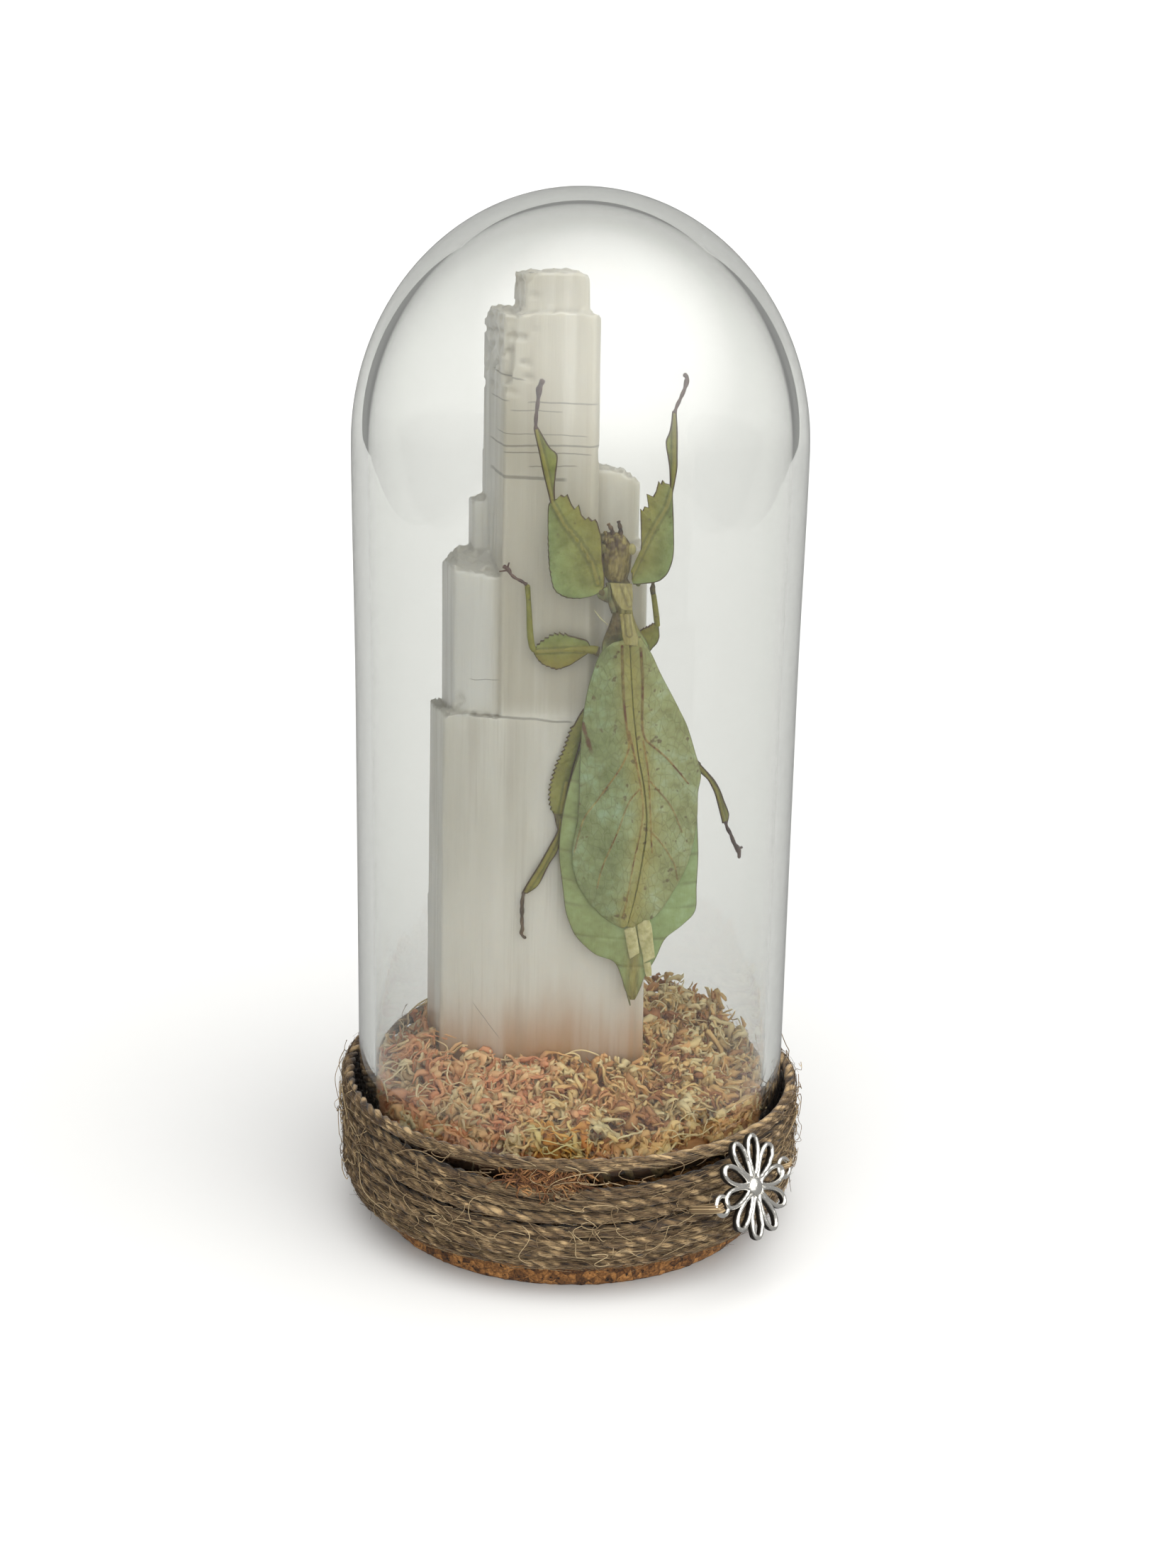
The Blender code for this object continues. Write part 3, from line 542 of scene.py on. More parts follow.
def twine_path(turns):
    """Helix points at counts of turns; the back climbs evenly, the front as measured."""
    back_z = TWINE_LOW_Z + (TWINE_HIGH_Z - TWINE_LOW_Z) * turns / TWINE_TURNS
    front_z = np.interp(turns, np.arange(TWINE_TURNS) + 0.5, FRONT_HEIGHTS)
    angle = 2 * np.pi * turns
    front_share = step(-0.2, 1.0, (1 - np.cos(angle)) / 2)
    sideways = np.minimum(1.0, 1.6 * np.sin(angle) ** 2) * step(-0.4, 0.2, -np.cos(angle))
    z = back_z * (1 - front_share) + front_z * front_share
    z = z + 0.16 * np.sin(angle * 0.731 + 1.0) + ramp_at(turns, SIDE_LIFT) * sideways
    radius = ramp_at(z, TWINE_PATH_R)
    return np.stack([radius * np.sin(angle), radius * np.cos(angle), z], axis=-1)


def twine_frame(turns):
    """The path with two directions across it: away from the axis, and along the side."""
    path = twine_path(turns)
    along = unit(np.gradient(path, axis=-2))
    side = unit(np.cross(along, unit(path * (1.0, 1.0, 0.0))))
    return path, np.cross(side, along), side


steps_of_path = np.diff(twine_path(np.linspace(0, TWINE_TURNS, 4000)), axis=0)
print("twine path", round(float(np.linalg.norm(steps_of_path, axis=1).sum())), "mm")

# %% Three plies
PLIES = 3
PLY_R = 0.60
PLY_OFFSET = 0.55
PLY_PITCH = 9.5
PLY_SIDES = 9
TWINE_ROWS = 2300
ROW_TURNS = np.linspace(0.0, TWINE_TURNS, TWINE_ROWS)


def ply_points(ply):
    """A ply's rings: a slubby circle at a point that circles the twine's path."""
    path, out, side = twine_frame(ROW_TURNS)
    run = ROW_TURNS * TURN_LENGTH
    lay = 2 * np.pi * (run / PLY_PITCH + ply / PLIES) + 0.7 * np.sin(run / 23.0)
    centre = path + PLY_OFFSET * (np.cos(lay)[:, None] * out + np.sin(lay)[:, None] * side)
    turn, rows = full_turn(PLY_SIDES), np.arange(TWINE_ROWS)
    slub = PLY_R * (1 + 0.13 * ripple(centre, 7.0, 20 + ply))
    taper = np.minimum(1.0, np.minimum(rows, rows[::-1]) / 3.0)
    radius = (slub * taper)[:, None] * (1 + 0.10 * np.sin(turn * 3 + 2.2 * lay[:, None]))
    across = np.cos(turn)[None, :, None] * out[:, None] + np.sin(turn)[None, :, None] * side[:, None]
    return centre[:, None] + radius[..., None] * across


def ply_shade(points):
    """Painted shade where plies meet and between the turns; the topmost turn lies free."""
    core, core_out, _ = twine_frame(ROW_TURNS)
    from_core = points - core[:, None]
    free_turn = step(6.9, 7.1, ROW_TURNS)[None, :, None]
    outness = (unit(from_core) * core_out[:, None]).sum(axis=-1) + 1.5 * free_turn
    return step(0.50, 1.0, np.linalg.norm(from_core, axis=-1)) * (0.08 + 0.92 * step(0.0, 0.85, outness))


def jute_finish():
    """Dull straw-brown fibres: streaks along the ply, and painted shade where plies meet."""
    jute = Finish("jute_twine")
    mottle = jute.noise(2.3, detail=4.0)
    streak = jute.noise(0.55, scale=(1.0, 1.0, 3.0), detail=3.0)
    tone = jute.mark("strand") * 0.42 + mottle * 0.30 + streak * 0.34
    body = jute.ramp(tone, (0.28, 52, 37, 21), (0.50, 106, 84, 55), (0.74, 168, 142, 102))
    # The depth mark lays painted shade, nearly black, where plies meet and between the turns.
    colour = jute.over((18, 11, 5), jute.mark("depth"), body)
    return jute.surface(base_color=colour, roughness=0.85, normal=jute.bump(streak, 0.18),
                        sheen_weight=0.15, sheen_roughness=0.5)


twine_grid = np.stack([ply_points(ply) for ply in range(PLIES)])
ply_faces = grid_faces(TWINE_ROWS, PLY_SIDES, close_columns=True)
twine_faces = np.concatenate([ply_faces + ply * TWINE_ROWS * PLY_SIDES for ply in range(PLIES)])
# depth carries the painted shade of the plies and the turns.
twine_marks = {"depth": ply_shade(twine_grid), "strand": 0.5 + 0.5 * ripple(twine_grid, 3.2, 31)}
twine = build("twine_plies", twine_grid, [twine_faces], jute_finish(), twine_marks)
dress(weld(twine), "jute", "twine_wrap")

# %% [markdown]
# ### Loose fibres
#
# What makes twine look like twine is its fuzz. Fibres lie on the plies at a small angle,
# and their ends lift off. A few long ones curl across several turns. All of them come from
# one function that sweeps a small polygon along many paths at once.

# %% Many strands in one mesh


def tube_faces(rings, sides):
    """Quads between the rings of one tube, and a fan of triangles to a point at each end."""
    ring = np.arange(sides)
    after, last = (ring + 1) % sides, (rings - 1) * sides
    start = np.stack([np.full(sides, rings * sides), after, ring], axis=-1)
    end = np.stack([np.full(sides, rings * sides + 1), last + ring, last + after], axis=-1)
    return grid_faces(rings, sides, close_columns=True), np.concatenate([start, end])


def strands(paths, widths, flatness, sides, draw, twist):
    """Closed strands along paths of shape (count, rings, 3).

    Each ring is an ellipse across its path: half a width one way, and flatness times that
    the other way. The two ways follow from one random direction for each strand, and turn
    round the path by about the twist, in radians, from its root to its tip.
    """
    count, rings = paths.shape[:2]
    along = unit(np.gradient(paths, axis=1))
    flat_side = unit(np.cross(along, unit(draw.normal(size=(count, 1, 3)))))
    flat_up = np.cross(flat_side, along)
    wind = (twist * draw.normal(size=(count, 1)) * np.linspace(0.0, 1.0, rings))[..., None]
    side = np.cos(wind) * flat_side + np.sin(wind) * flat_up
    up = np.cos(wind) * flat_up - np.sin(wind) * flat_side
    turn = full_turn(sides)[:, None]
    ellipse = np.cos(turn) * side[:, :, None] + flatness * np.sin(turn) * up[:, :, None]
    skin = paths[:, :, None] + 0.5 * widths[:, :, None, None] * ellipse
    points = np.concatenate([skin.reshape(count, rings * sides, 3), paths[:, [0, -1]]], axis=1)
    shift = (np.arange(count) * (rings * sides + 2))[:, None, None]
    return points, [(faces + shift).reshape(-1, faces.shape[1]) for faces in tube_faces(rings, sides)]


def lay(name, finish, slot, draw, paths, widths, tones, flatness=0.8, sides=3, twist=0.0):
    """A dressed piece of strands, each marked with its tone and with how far along it goes."""
    points, faces = strands(paths, widths, flatness, sides, draw, twist)
    count, rings = paths.shape[:2]
    share = np.concatenate([np.repeat(np.linspace(0.0, 1.0, rings), sides), [0.0, 1.0]])
    marks = {"strand": np.repeat(tones(draw, count), len(share)), "along": np.tile(share, count)}
    dress(build(name, points, faces, finish, marks), slot)


def between(low, high):
    """Tones drawn evenly between two numbers."""
    return lambda draw, count: draw.uniform(low, high, count)


def waver(draw, share, size, slow, fast, count):
    """A sine wave along each strand, with a random pace and phase."""
    return size * np.sin(share * draw.uniform(slow, fast, (count, 1)) + draw.uniform(0.0, 6.0, (count, 1)))


# %% Fuzz on the twine
FUZZ_COUNT, FUZZ_RINGS = 2900, 6
FUZZ_REACH = 3.6
FLYAWAY_COUNT, FLYAWAY_RINGS = 260, 14
FLYAWAY_LOW_Z, FLYAWAY_HIGH_Z = 4.0, 30.0


def fuzz_paths(draw, count=FUZZ_COUNT):
    """Fibres that start on a ply, run along it and lift away by a square law."""
    each = (count, 1)
    start = draw.uniform(0.0, TWINE_TURNS, count)[:, None]
    length = draw.uniform(3.0, 12.0, count)[:, None] / TURN_LENGTH
    share = np.linspace(0.0, 1.0, FUZZ_RINGS)[None]
    turns = np.clip(start + length * share * draw.choice([-1.0, 1.0], each), 0.0, TWINE_TURNS)
    base, out, side = twine_frame(turns)
    angle = draw.uniform(-1.15, 1.15, each) + draw.normal(0.0, 0.5, each) * share
    lift = 1.0 + draw.uniform(0.0, 0.15, each) + draw.gamma(1.0, 0.34, each) * share**2
    reach = np.minimum(lift + waver(draw, share, 0.12, 4.0, 12.0, count), FUZZ_REACH)
    return base + reach[..., None] * (np.cos(angle)[..., None] * out + np.sin(angle)[..., None] * side)


def flyaway_paths(draw, count=FLYAWAY_COUNT):
    """Long fibres that wander over the turns: a curl round the dome and up or down it."""
    each = (count, 1)
    share = np.linspace(0.0, 1.0, FLYAWAY_RINGS)[None]
    angle = draw.uniform(0.0, 2 * np.pi, each) + draw.uniform(-0.35, 0.35, each) * share
    angle = angle + 0.03 * np.sin(share * draw.uniform(4.0, 14.0, each))
    z = draw.uniform(9.0, 27.0, each) + draw.uniform(-7.0, 7.0, each) * (share - 0.5)
    z = np.clip(z + waver(draw, share, 0.9, 3.0, 11.0, count), FLYAWAY_LOW_Z, FLYAWAY_HIGH_Z)
    radius = 1.45 + ramp_at(z, TWINE_PATH_R) + draw.gamma(1.5, 0.3, each) * np.sin(np.pi * share)
    return np.stack([radius * np.sin(angle), radius * np.cos(angle), z], axis=-1)


def fibre_finish():
    """Single jute fibres are paler than the twine they leave."""
    fibre = Finish("jute_fibre")
    body = fibre.ramp(fibre.mark("strand"), (0.0, 54, 36, 20), (0.3, 84, 65, 42), (0.7, 122, 101, 72),
                      (1.0, 168, 148, 112))
    return fibre.surface(base_color=body, roughness=0.7)


FIBRE = fibre_finish()
draw = np.random.default_rng(7)
for number in (1, 2):
    lay(f"twine_fuzz_{number}", FIBRE, "jute", draw, fuzz_paths(draw),
        draw.uniform(0.08, 0.18, (FUZZ_COUNT, 1)) * np.linspace(1.0, 0.5, FUZZ_RINGS), between(0.0, 0.9))
lay("twine_flyaways", FIBRE, "jute", draw, flyaway_paths(draw), draw.uniform(0.12, 0.22, (FLYAWAY_COUNT, 1)),
    between(0.4, 1.0))

# %% [markdown]
# ## The moss
#
# Preserved moss is a cushion of soft fingers, dyed in salmon, ochre and straw. Underneath lies
# a mat with the solid's own top, in painted shade. Over it grow tufts: each tuft has one place
# and one lean, and a dozen flat fingers that spread and curl from it. Cream stems run across.

# %% The mat under the moss
MOSS_R = 36.4
MOSS_LOW_Z = 21.3
MOSS_HEAPS = ((-25.0, -4.0, 9.0, 4.5), (0.0, -10.0, 13.0, 1.6), (22.0, 20.0, 13.0, 3.6),
              (20.0, -2.0, 10.0, 2.0), (-14.0, 25.0, 12.0, 2.0))
MAT_BOTTOM_ROWS, MAT_TOP_ROWS, MAT_SEGMENTS = 20, 90, 150
MAT_TONE = 0.15
TOWER_FRONT_Y, TOWER_BACK_Y = -4.0, 14.0
TOWER_LEFT_X, TOWER_RIGHT_X = -24.6, 13.7
TOWER_LEAN = -0.25


def moss_height(x, y):
    """The solid's top: a slope, small lumps and a few round heaps."""
    z = 27.6 + 0.06 * y + 0.6 * np.sin(0.55 * x + 1.0) * np.cos(0.5 * y)
    for heap_x, heap_y, spread, high in MOSS_HEAPS:
        z = z + high * np.exp(-((x - heap_x) ** 2 + (y - heap_y) ** 2) / spread**2)
    return z


def tower_gaps(x, y, margin=0.0):
    """How far a point in plan lies inside the crystal's left, right, front and back faces."""
    upright_x = x - TOWER_LEAN * (y - TOWER_FRONT_Y)
    return np.stack([upright_x - (TOWER_LEFT_X - margin), (TOWER_RIGHT_X + margin) - upright_x,
                     y - (TOWER_FRONT_Y - margin), (TOWER_BACK_Y + margin) - y])


def mat_grid():
    """A disc in polar steps: bottom, outer wall and a rough top that dips under the crystal."""
    outward, inward = np.linspace(0.0, 1.0, MAT_BOTTOM_ROWS), np.linspace(1.0, 0.0, MAT_TOP_ROWS)
    share = np.concatenate([outward, inward])[:, None]
    angle = full_turn(MAT_SEGMENTS)
    x, y = MOSS_R * share * np.cos(angle), MOSS_R * share * np.sin(angle)
    flat = np.stack([x, y, 0 * x], axis=-1)
    low = MOSS_LOW_Z + 0.4
    top = moss_height(x, y) - 1.3 + 0.5 * ripple(flat, 5.0, 41) + 0.3 * ripple(flat, 2.2, 42)
    top = low + (top - low) * step(0.2, 0.8, -tower_gaps(x, y).min(axis=0))
    is_top = (np.arange(len(share)) >= MAT_BOTTOM_ROWS)[:, None]
    return np.stack([x, y, np.where(is_top, top, MOSS_LOW_Z)], axis=-1)


def moss_finish():
    """Salmon on the left, ochre in the middle of the front, straw and brown on the right; painted shade at the
    roots and low down.
    """
    moss = Finish("dried_moss")
    strand, along = moss.mark("strand"), moss.mark("along")
    x, y = moss.axis("X"), moss.axis("Y")
    patch = moss.noise(7.0, detail=2.0)
    salmon = moss.ramp(strand, (0.0, 240, 168, 122), (0.3, 255, 198, 146), (0.55, 255, 220, 162),
                       (0.85, 255, 234, 186))
    straw = moss.ramp(strand, (0.0, 188, 130, 86), (0.25, 248, 196, 130), (0.5, 255, 222, 154),
                      (0.85, 255, 236, 184))
    ochre = moss.ramp(strand, (0.0, 226, 146, 64), (0.5, 255, 206, 108), (0.9, 255, 236, 166))
    leftness = (x + (patch - 0.5) * 60.0).rise(4.0, -8.0)
    front_middle = (abs(x + 0.5) + (patch - 0.5) * 16.0).rise(9.0, 4.0) * y.rise(-27.0, -31.0)
    # Painted shade: dark at the fingers' roots and on the mat, darkest on the lowest moss at the mat's side.
    root_shade = (1 - along.rise(-0.1, 0.28)) * 0.6
    low_shade = moss.axis("Z").rise(24.6, 22.6) * 0.85
    colour = moss.over(straw, leftness, salmon, front_middle, ochre, root_shade, (128, 76, 50),
                       low_shade, (52, 32, 20))
    relief = moss.bump(moss.noise(1.2, detail=4.0), 0.15)
    return moss.surface(base_color=colour, roughness=0.88, normal=relief)


MOSS = moss_finish()
mat = mat_grid()
# along is 0 all over the mat, so it takes the roots' full painted shade.
mat_marks = {"strand": np.full(mat.shape[:2], MAT_TONE), "along": np.zeros(mat.shape[:2])}
mat_faces = grid_faces(*mat.shape[:2], close_columns=True)
dress(weld(build("moss_mat", mat, [mat_faces], MOSS, mat_marks)), "dried_moss", "moss_bed")

# %% Tufts of fingers
TUFTS, FINGERS = 570, 13
TUFT_PIECES = 6
FINGER_RINGS, FINGER_SIDES = 10, 4
FINGER_WIDTH, WIDEST_FINGER = 0.5, 1.9
MOSS_PILE = 3.6
RIM_GAP = 0.15
TOWER_GAP = 0.7


def tuft_places(draw, count):
    """Random places in the dome, more of them near the rim, and none inside the crystal."""
    radius = (MOSS_R - 0.9) * draw.uniform(0.0, 1.0, 6 * count) ** 0.45
    angle = draw.uniform(0.0, 2 * np.pi, 6 * count)
    x, y = radius * np.cos(angle), radius * np.sin(angle)
    free = -tower_gaps(x, y).min(axis=0) > 0.5
    return x[free][:count], y[free][:count]


def keep_clear(paths):
    """Pushes strands inside the glass, off the crystal and over the twine's joint."""
    x, y, z = paths[..., 0], paths[..., 1], paths[..., 2]
    shrink = np.minimum(1.0, (MOSS_R - RIM_GAP) / np.maximum(np.hypot(x, y), 1e-6))
    x, y = x * shrink, y * shrink
    gaps = tower_gaps(x, y, TOWER_GAP)
    nearest, push = gaps.argmin(axis=0), gaps.min(axis=0) * (gaps > 0.0).all(axis=0)
    x = x + push * np.choose(nearest, [-1.0, 1.0, 0.0, 0.0])
    y = y + push * np.choose(nearest, [0.0, 0.0, -1.0, 1.0])
    return np.stack([x, y, np.maximum(z, MOSS_LOW_Z)], axis=-1)


def finger_paths(draw, x, y):
    """Curly fingers: each step's heading and climb turn as the finger goes, and the steps add up.

    The fingers of one tuft bend alike, and each of them strays a little from its fellows.
    """
    count, tuft, finger = len(x), (len(x), 1, 1), (len(x), FINGERS, 1)
    rim = step(27.0, 34.5, np.hypot(x, y))
    outward = draw.uniform(size=count) < 0.6 * rim
    azimuth = np.where(outward, np.arctan2(y, x) + draw.normal(0, 0.5, count),
                       draw.uniform(0.0, 2 * np.pi, count))
    climb = np.where(rim > 0.5, draw.uniform(-0.9, 0.4, count), draw.uniform(-0.3, 0.7, count))
    share = np.linspace(0.0, 1.0, FINGER_RINGS - 1)
    bend = draw.normal(0.0, 1.1, tuft) + draw.normal(0.0, 0.6, finger)
    heading = azimuth[:, None, None] + draw.normal(0.0, 0.5, finger) + bend * share
    phase = draw.uniform(0.0, 6.0, tuft) + draw.normal(0.0, 0.7, finger)
    heading = heading + 0.8 * np.sin(share * draw.uniform(4.0, 11.0, tuft) + phase)
    climb = climb[:, None, None] + draw.normal(0.1, 0.35, finger) + draw.normal(-0.5, 0.8, finger) * share
    climb = climb + 0.6 * np.sin(share * draw.uniform(4.0, 11.0, tuft) + phase + draw.uniform(0.0, 6.0, tuft))
    way = np.stack([np.cos(heading) * np.cos(climb), np.sin(heading) * np.cos(climb), np.sin(climb)], axis=-1)
    stride = (draw.uniform(5.0, 9.5, tuft) * draw.uniform(0.7, 1.2, finger))[..., None] / (FINGER_RINGS - 1)
    root = np.stack([x, y, moss_height(x, y) - 0.6], axis=-1)[:, None]
    root = root + draw.normal(0.0, 0.9, (count, FINGERS, 3))
    walk = np.concatenate([np.zeros((count, FINGERS, 1, 3)), np.cumsum(way * stride, axis=2)], axis=2)
    paths = (root[:, :, None] + walk).reshape(count * FINGERS, FINGER_RINGS, 3)
    paths[..., 2] = np.minimum(paths[..., 2], moss_height(paths[..., 0], paths[..., 1]) + MOSS_PILE)
    return keep_clear(paths)


def finger_widths(draw, count, widest):
    """A finger swells from its root, has wavy edges, and closes at a blunt tip."""
    share = np.linspace(0.0, 1.0, FINGER_RINGS)
    form = (0.70 + 0.45 * np.sin(np.pi * share**0.8)) * np.where(share == 1.0, 0.5, 1.0)
    waves = 1 + waver(draw, share, 0.25, 6.0, 16.0, count)
    return (FINGER_WIDTH + (widest - FINGER_WIDTH) * draw.uniform(0.0, 1.0, (count, 1)) ** 2) * form * waves


def tuft_tones(draw, count):
    """The fingers of one tuft have nearly the same tone."""
    tufts = np.repeat(draw.normal(0.42, 0.28, count // FINGERS), FINGERS)
    return np.clip(tufts + draw.normal(0, 0.16, count), 0, 1)


draw = np.random.default_rng(11)
tuft_x, tuft_y = tuft_places(draw, TUFTS)
sector = np.floor((np.arctan2(tuft_y, tuft_x) + np.pi) / (2 * np.pi) * TUFT_PIECES).clip(0, TUFT_PIECES - 1)
for number in range(TUFT_PIECES):
    chosen = sector == number
    paths = finger_paths(draw, tuft_x[chosen], tuft_y[chosen])
    widths = finger_widths(draw, len(paths), WIDEST_FINGER)
    lay(f"moss_tufts_{number + 1}", MOSS, "dried_moss", draw, paths, widths, tuft_tones,
        flatness=0.45, sides=FINGER_SIDES, twist=2.0)

# %% Stems over the moss
STEMS, STEM_RINGS, STEM_SIDES = 90, 22, 5


def stem_paths(draw):
    """Long stems that wander over the heaps: slowly turning steps, laid on the moss."""
    each = (STEMS, 1)
    x, y = tuft_places(draw, STEMS)
    start = draw.uniform(0.0, 2 * np.pi, each)
    heading = start + np.cumsum(draw.normal(0.0, 0.35, (STEMS, STEM_RINGS)), axis=1)
    stride = draw.uniform(7.0, 20.0, each) / STEM_RINGS
    x = x[:, None] + np.cumsum(stride * np.cos(heading), axis=1)
    y = y[:, None] + np.cumsum(stride * np.sin(heading), axis=1)
    share = np.linspace(0.0, 1.0, STEM_RINGS)
    arch = np.sin(np.pi * share) * draw.uniform(0.5, 2.0, each)
    lift = 1.6 + arch + waver(draw, share, 0.5, 5.0, 16.0, STEMS)
    return keep_clear(np.stack([x, y, moss_height(x, y) + lift], axis=-1))


lay("moss_stems", MOSS, "dried_moss", draw, stem_paths(draw),
    draw.uniform(0.28, 0.5, (STEMS, 1)) * np.linspace(1.0, 0.55, STEM_RINGS), between(0.85, 1.0),
    sides=STEM_SIDES)

# %% Moss ends under the topmost turn
FRAYED = 300
FRAYED_PLACES = {-11.0: 0.1, -8.0: 0.3, -5.0: 0.3, -2.5: 0.2, 1.0: 0.1}


def frayed_paths(draw, count=FRAYED):
    """Short ends that hang out at the front, from behind the topmost turn of the twine."""
    each = (count, 1)
    share = np.linspace(0.0, 1.0, FINGER_RINGS)
    angle = draw.choice(list(FRAYED_PLACES), each, p=list(FRAYED_PLACES.values()))
    sway = waver(draw, share, 1.2, 3.0, 9.0, count)
    angle = np.radians(angle + draw.normal(0.0, 1.3, each) + draw.normal(0.0, 3.5, each) * share + sway)
    radius = 40.7 + draw.uniform(0.8, 2.9, each) * np.sin(0.6 * np.pi * share)
    wave = waver(draw, share, 0.7, 4.0, 12.0, count)
    z = draw.uniform(23.0, 25.8, each) - draw.uniform(-0.8, 3.4, each) * share + wave
    return np.stack([radius * np.sin(angle), -radius * np.cos(angle), z], axis=-1)


def frayed_finish():
    """Red-brown moss with a few paler ends."""
    old = Finish("brown_moss")
    body = old.ramp(old.mark("strand"), (0.0, 62, 36, 18), (0.6, 112, 72, 38), (1.0, 164, 122, 76))
    return old.surface(base_color=body, roughness=0.9)


lay("moss_frayed_ends", frayed_finish(), "dried_moss", draw, frayed_paths(draw),
    0.7 * finger_widths(draw, FRAYED, 0.6), between(0.0, 1.0), flatness=0.6, sides=FINGER_SIDES)

# %% [markdown]
# ## The selenite tower
#
# Selenite grows in fibres, so it splits into upright blades with satin sides, and it snaps
# across them in rough grey steps. The solid is the crystal; a fine copy of its skin lets
# fibres, cracks and broken tops go into the mesh. Light enters it and scatters. Near its foot
# a painted warm brown stands for the moss behind it showing through.

# %% A fine copy of the crystal's skin
TOWER_VOXEL = 0.5
# Hairline cracks, as (start x, end x, height at the start, slope, half thickness).
CRACKS = ((-15.7, -9.7, 158.8, -0.20, 0.22), (-16.1, -12.4, 154.1, 0.0, 0.16), (-9.3, 3.1, 153.8, -0.01, 0.2),
          (-12.3, -3.1, 152.5, -0.04, 0.14), (-14.8, 1.3, 148.5, -0.03, 0.12), (-16.3, 3.8, 146.3, 0.0, 0.24),
          (-13.5, 2.0, 145.2, -0.02, 0.16), (-9.1, -0.4, 142.7, 0.01, 0.14), (-16.2, -2.3, 141.1, -0.05, 0.42),
          (-19.3, -13.8, 104.1, 0.0, 0.1), (-19.3, -0.6, 97.7, -0.06, 0.3), (-18.3, -13.3, 41.9, -1.4, 0.14))


def fine_copy(node, voxel):
    """The solid's triangles, merged, and laid anew on cubes of the voxel's size."""
    shape = bmesh.new()
    shape.from_mesh(nodes[node].data)
    bmesh.ops.remove_doubles(shape, verts=shape.verts, dist=0.001 * MM)
    mesh = bpy.data.meshes.new(node + "_copy")
    shape.to_mesh(mesh)
    shape.free()
    source = bpy.data.objects.new(node + "_copy", mesh)
    bpy.context.scene.collection.objects.link(source)
    skin = source.modifiers.new("skin", "REMESH")
    skin.mode = "VOXEL"
    skin.voxel_size = voxel * MM
    bpy.context.view_layer.update()
    fine = bpy.data.meshes.new_from_object(source.evaluated_get(bpy.context.evaluated_depsgraph_get()))
    bpy.data.objects.remove(source)
    return fine


def array_of(mesh, name):
    """One property of the mesh's points, as an array."""
    values = np.empty(len(mesh.vertices) * 3, np.float32)
    mesh.vertices.foreach_get(name, values)
    return values.reshape(-1, 3).astype(float)


def crack_lines(stone, x, z):
    """1 on a hairline crack: near its wavy line, and between its two ends."""
    lines = None
    for start_x, end_x, line_z, tilt, half in CRACKS:
        wave = stone.noise(5.0, scale=(1.0, 0.2, 0.2), detail=3.0)
        off = abs(z - line_z - (x - start_x) * tilt - (wave - 0.5) * 0.9)
        run = x.rise(start_x - 0.3, start_x + 0.6) * x.rise(end_x + 0.3, end_x - 0.8)
        line = off.rise(half, half * 0.35) * run
        lines = line if lines is None else lines.most(line)
    return lines


def selenite_finish():
    """Milky satin: white veils, fine upright fibres, hairline cracks and grey broken ends, painted light on the
    left blade and a painted warm brown at the foot.
    """
    stone = Finish("satin_selenite")
    x, z = stone.axis("X"), stone.axis("Z")
    veils = stone.noise(9.0, scale=(1.0, 1.0, 0.22), detail=4.0)
    fibres = stone.noise(0.7, scale=(1.0, 1.0, 0.02), detail=4.0, roughness=0.7)
    broken = stone.mark("broken")
    upper = z.rise(97.0, 101.0)
    warm = (z + (veils - 0.5) * 14.0).rise(48.0, 28.0)
    bands = stone.noise(3.4, scale=(1.0, 1.0, 0.04), detail=3.0, roughness=0.5)
    patches = stone.noise(16.0, scale=(1.0, 1.0, 0.5), detail=2.0).rise(0.42, 0.60)
    body = stone.ramp(veils, (0.25, 208, 204, 190), (0.55, 221, 218, 206), (0.8, 233, 231, 222))
    colour = stone.over(
        body,
        upper * x.rise(-15.5, -12.5) * x.rise(5.0, 3.0) * 0.5, (182, 174, 150),
        # Painted light: the upper left blade is made lighter, as where it catches the light.
        upper * x.rise(-13.5, -17.0) * 0.6, (226, 226, 222),
        z.rise(74.0, 56.0) * 0.6, (240, 238, 229),
        # Painted see-through: a warm brown low down for the moss showing through the crystal.
        warm * 0.95, (194, 150, 102),
        bands.rise(0.50, 0.66) * 0.30, (236, 233, 224),
        bands.rise(0.46, 0.34) * 0.20, (172, 162, 142),
        fibres.rise(0.54, 0.72) * patches * 0.25, (176, 168, 148),
        crack_lines(stone, x, z) * 0.62, (120, 114, 102),
        broken * 0.5, (160, 156, 144))
    rough = 0.26 + broken * 0.4 + veils * 0.12
    return stone.surface(base_color=colour, roughness=rough, ior=1.52, normal=stone.bump(fibres, 0.06),
                         subsurface_weight=0.55, subsurface_radius=(1.0, 0.92, 0.78), subsurface_scale=0.004)


def carve_tower(mesh):
    """Moves the skin: upright ripples on the sides, and rough steps on the broken ends."""
    points, normals = array_of(mesh, "co") / MM, array_of(mesh, "normal")
    upright = points * (1.0, 1.0, 0.03)
    grain = 0.05 * ripple(upright, 1.6, 51) + 0.06 * ripple(upright, 5.0, 52) + 0.03 * ripple(upright, 0.9, 53)
    broken = step(0.35, 0.75, normals[:, 2]) * step(60.0, 80.0, points[:, 2])
    crags = 0.28 * ripple(points, 2.4, 54) + 0.22 * ripple(points, 1.1, 55) - 0.35
    battered = step(153.0, 158.0, points[:, 2]) * step(-7.0, -10.0, points[:, 0])
    flakes = step(0.3, 0.9, ripple(points * (1.0, 1.0, 1.6), 3.6, 56)) * battered
    out = (grain - 0.65 * flakes) * (1 - broken) + crags * broken
    moved = points + normals * out[:, None]
    mesh.vertices.foreach_set("co", (moved * MM).astype(np.float32).ravel())
    layer = mesh.attributes.new("broken", "FLOAT", "POINT")
    layer.data.foreach_set("value", broken.astype(np.float32))
    return mesh


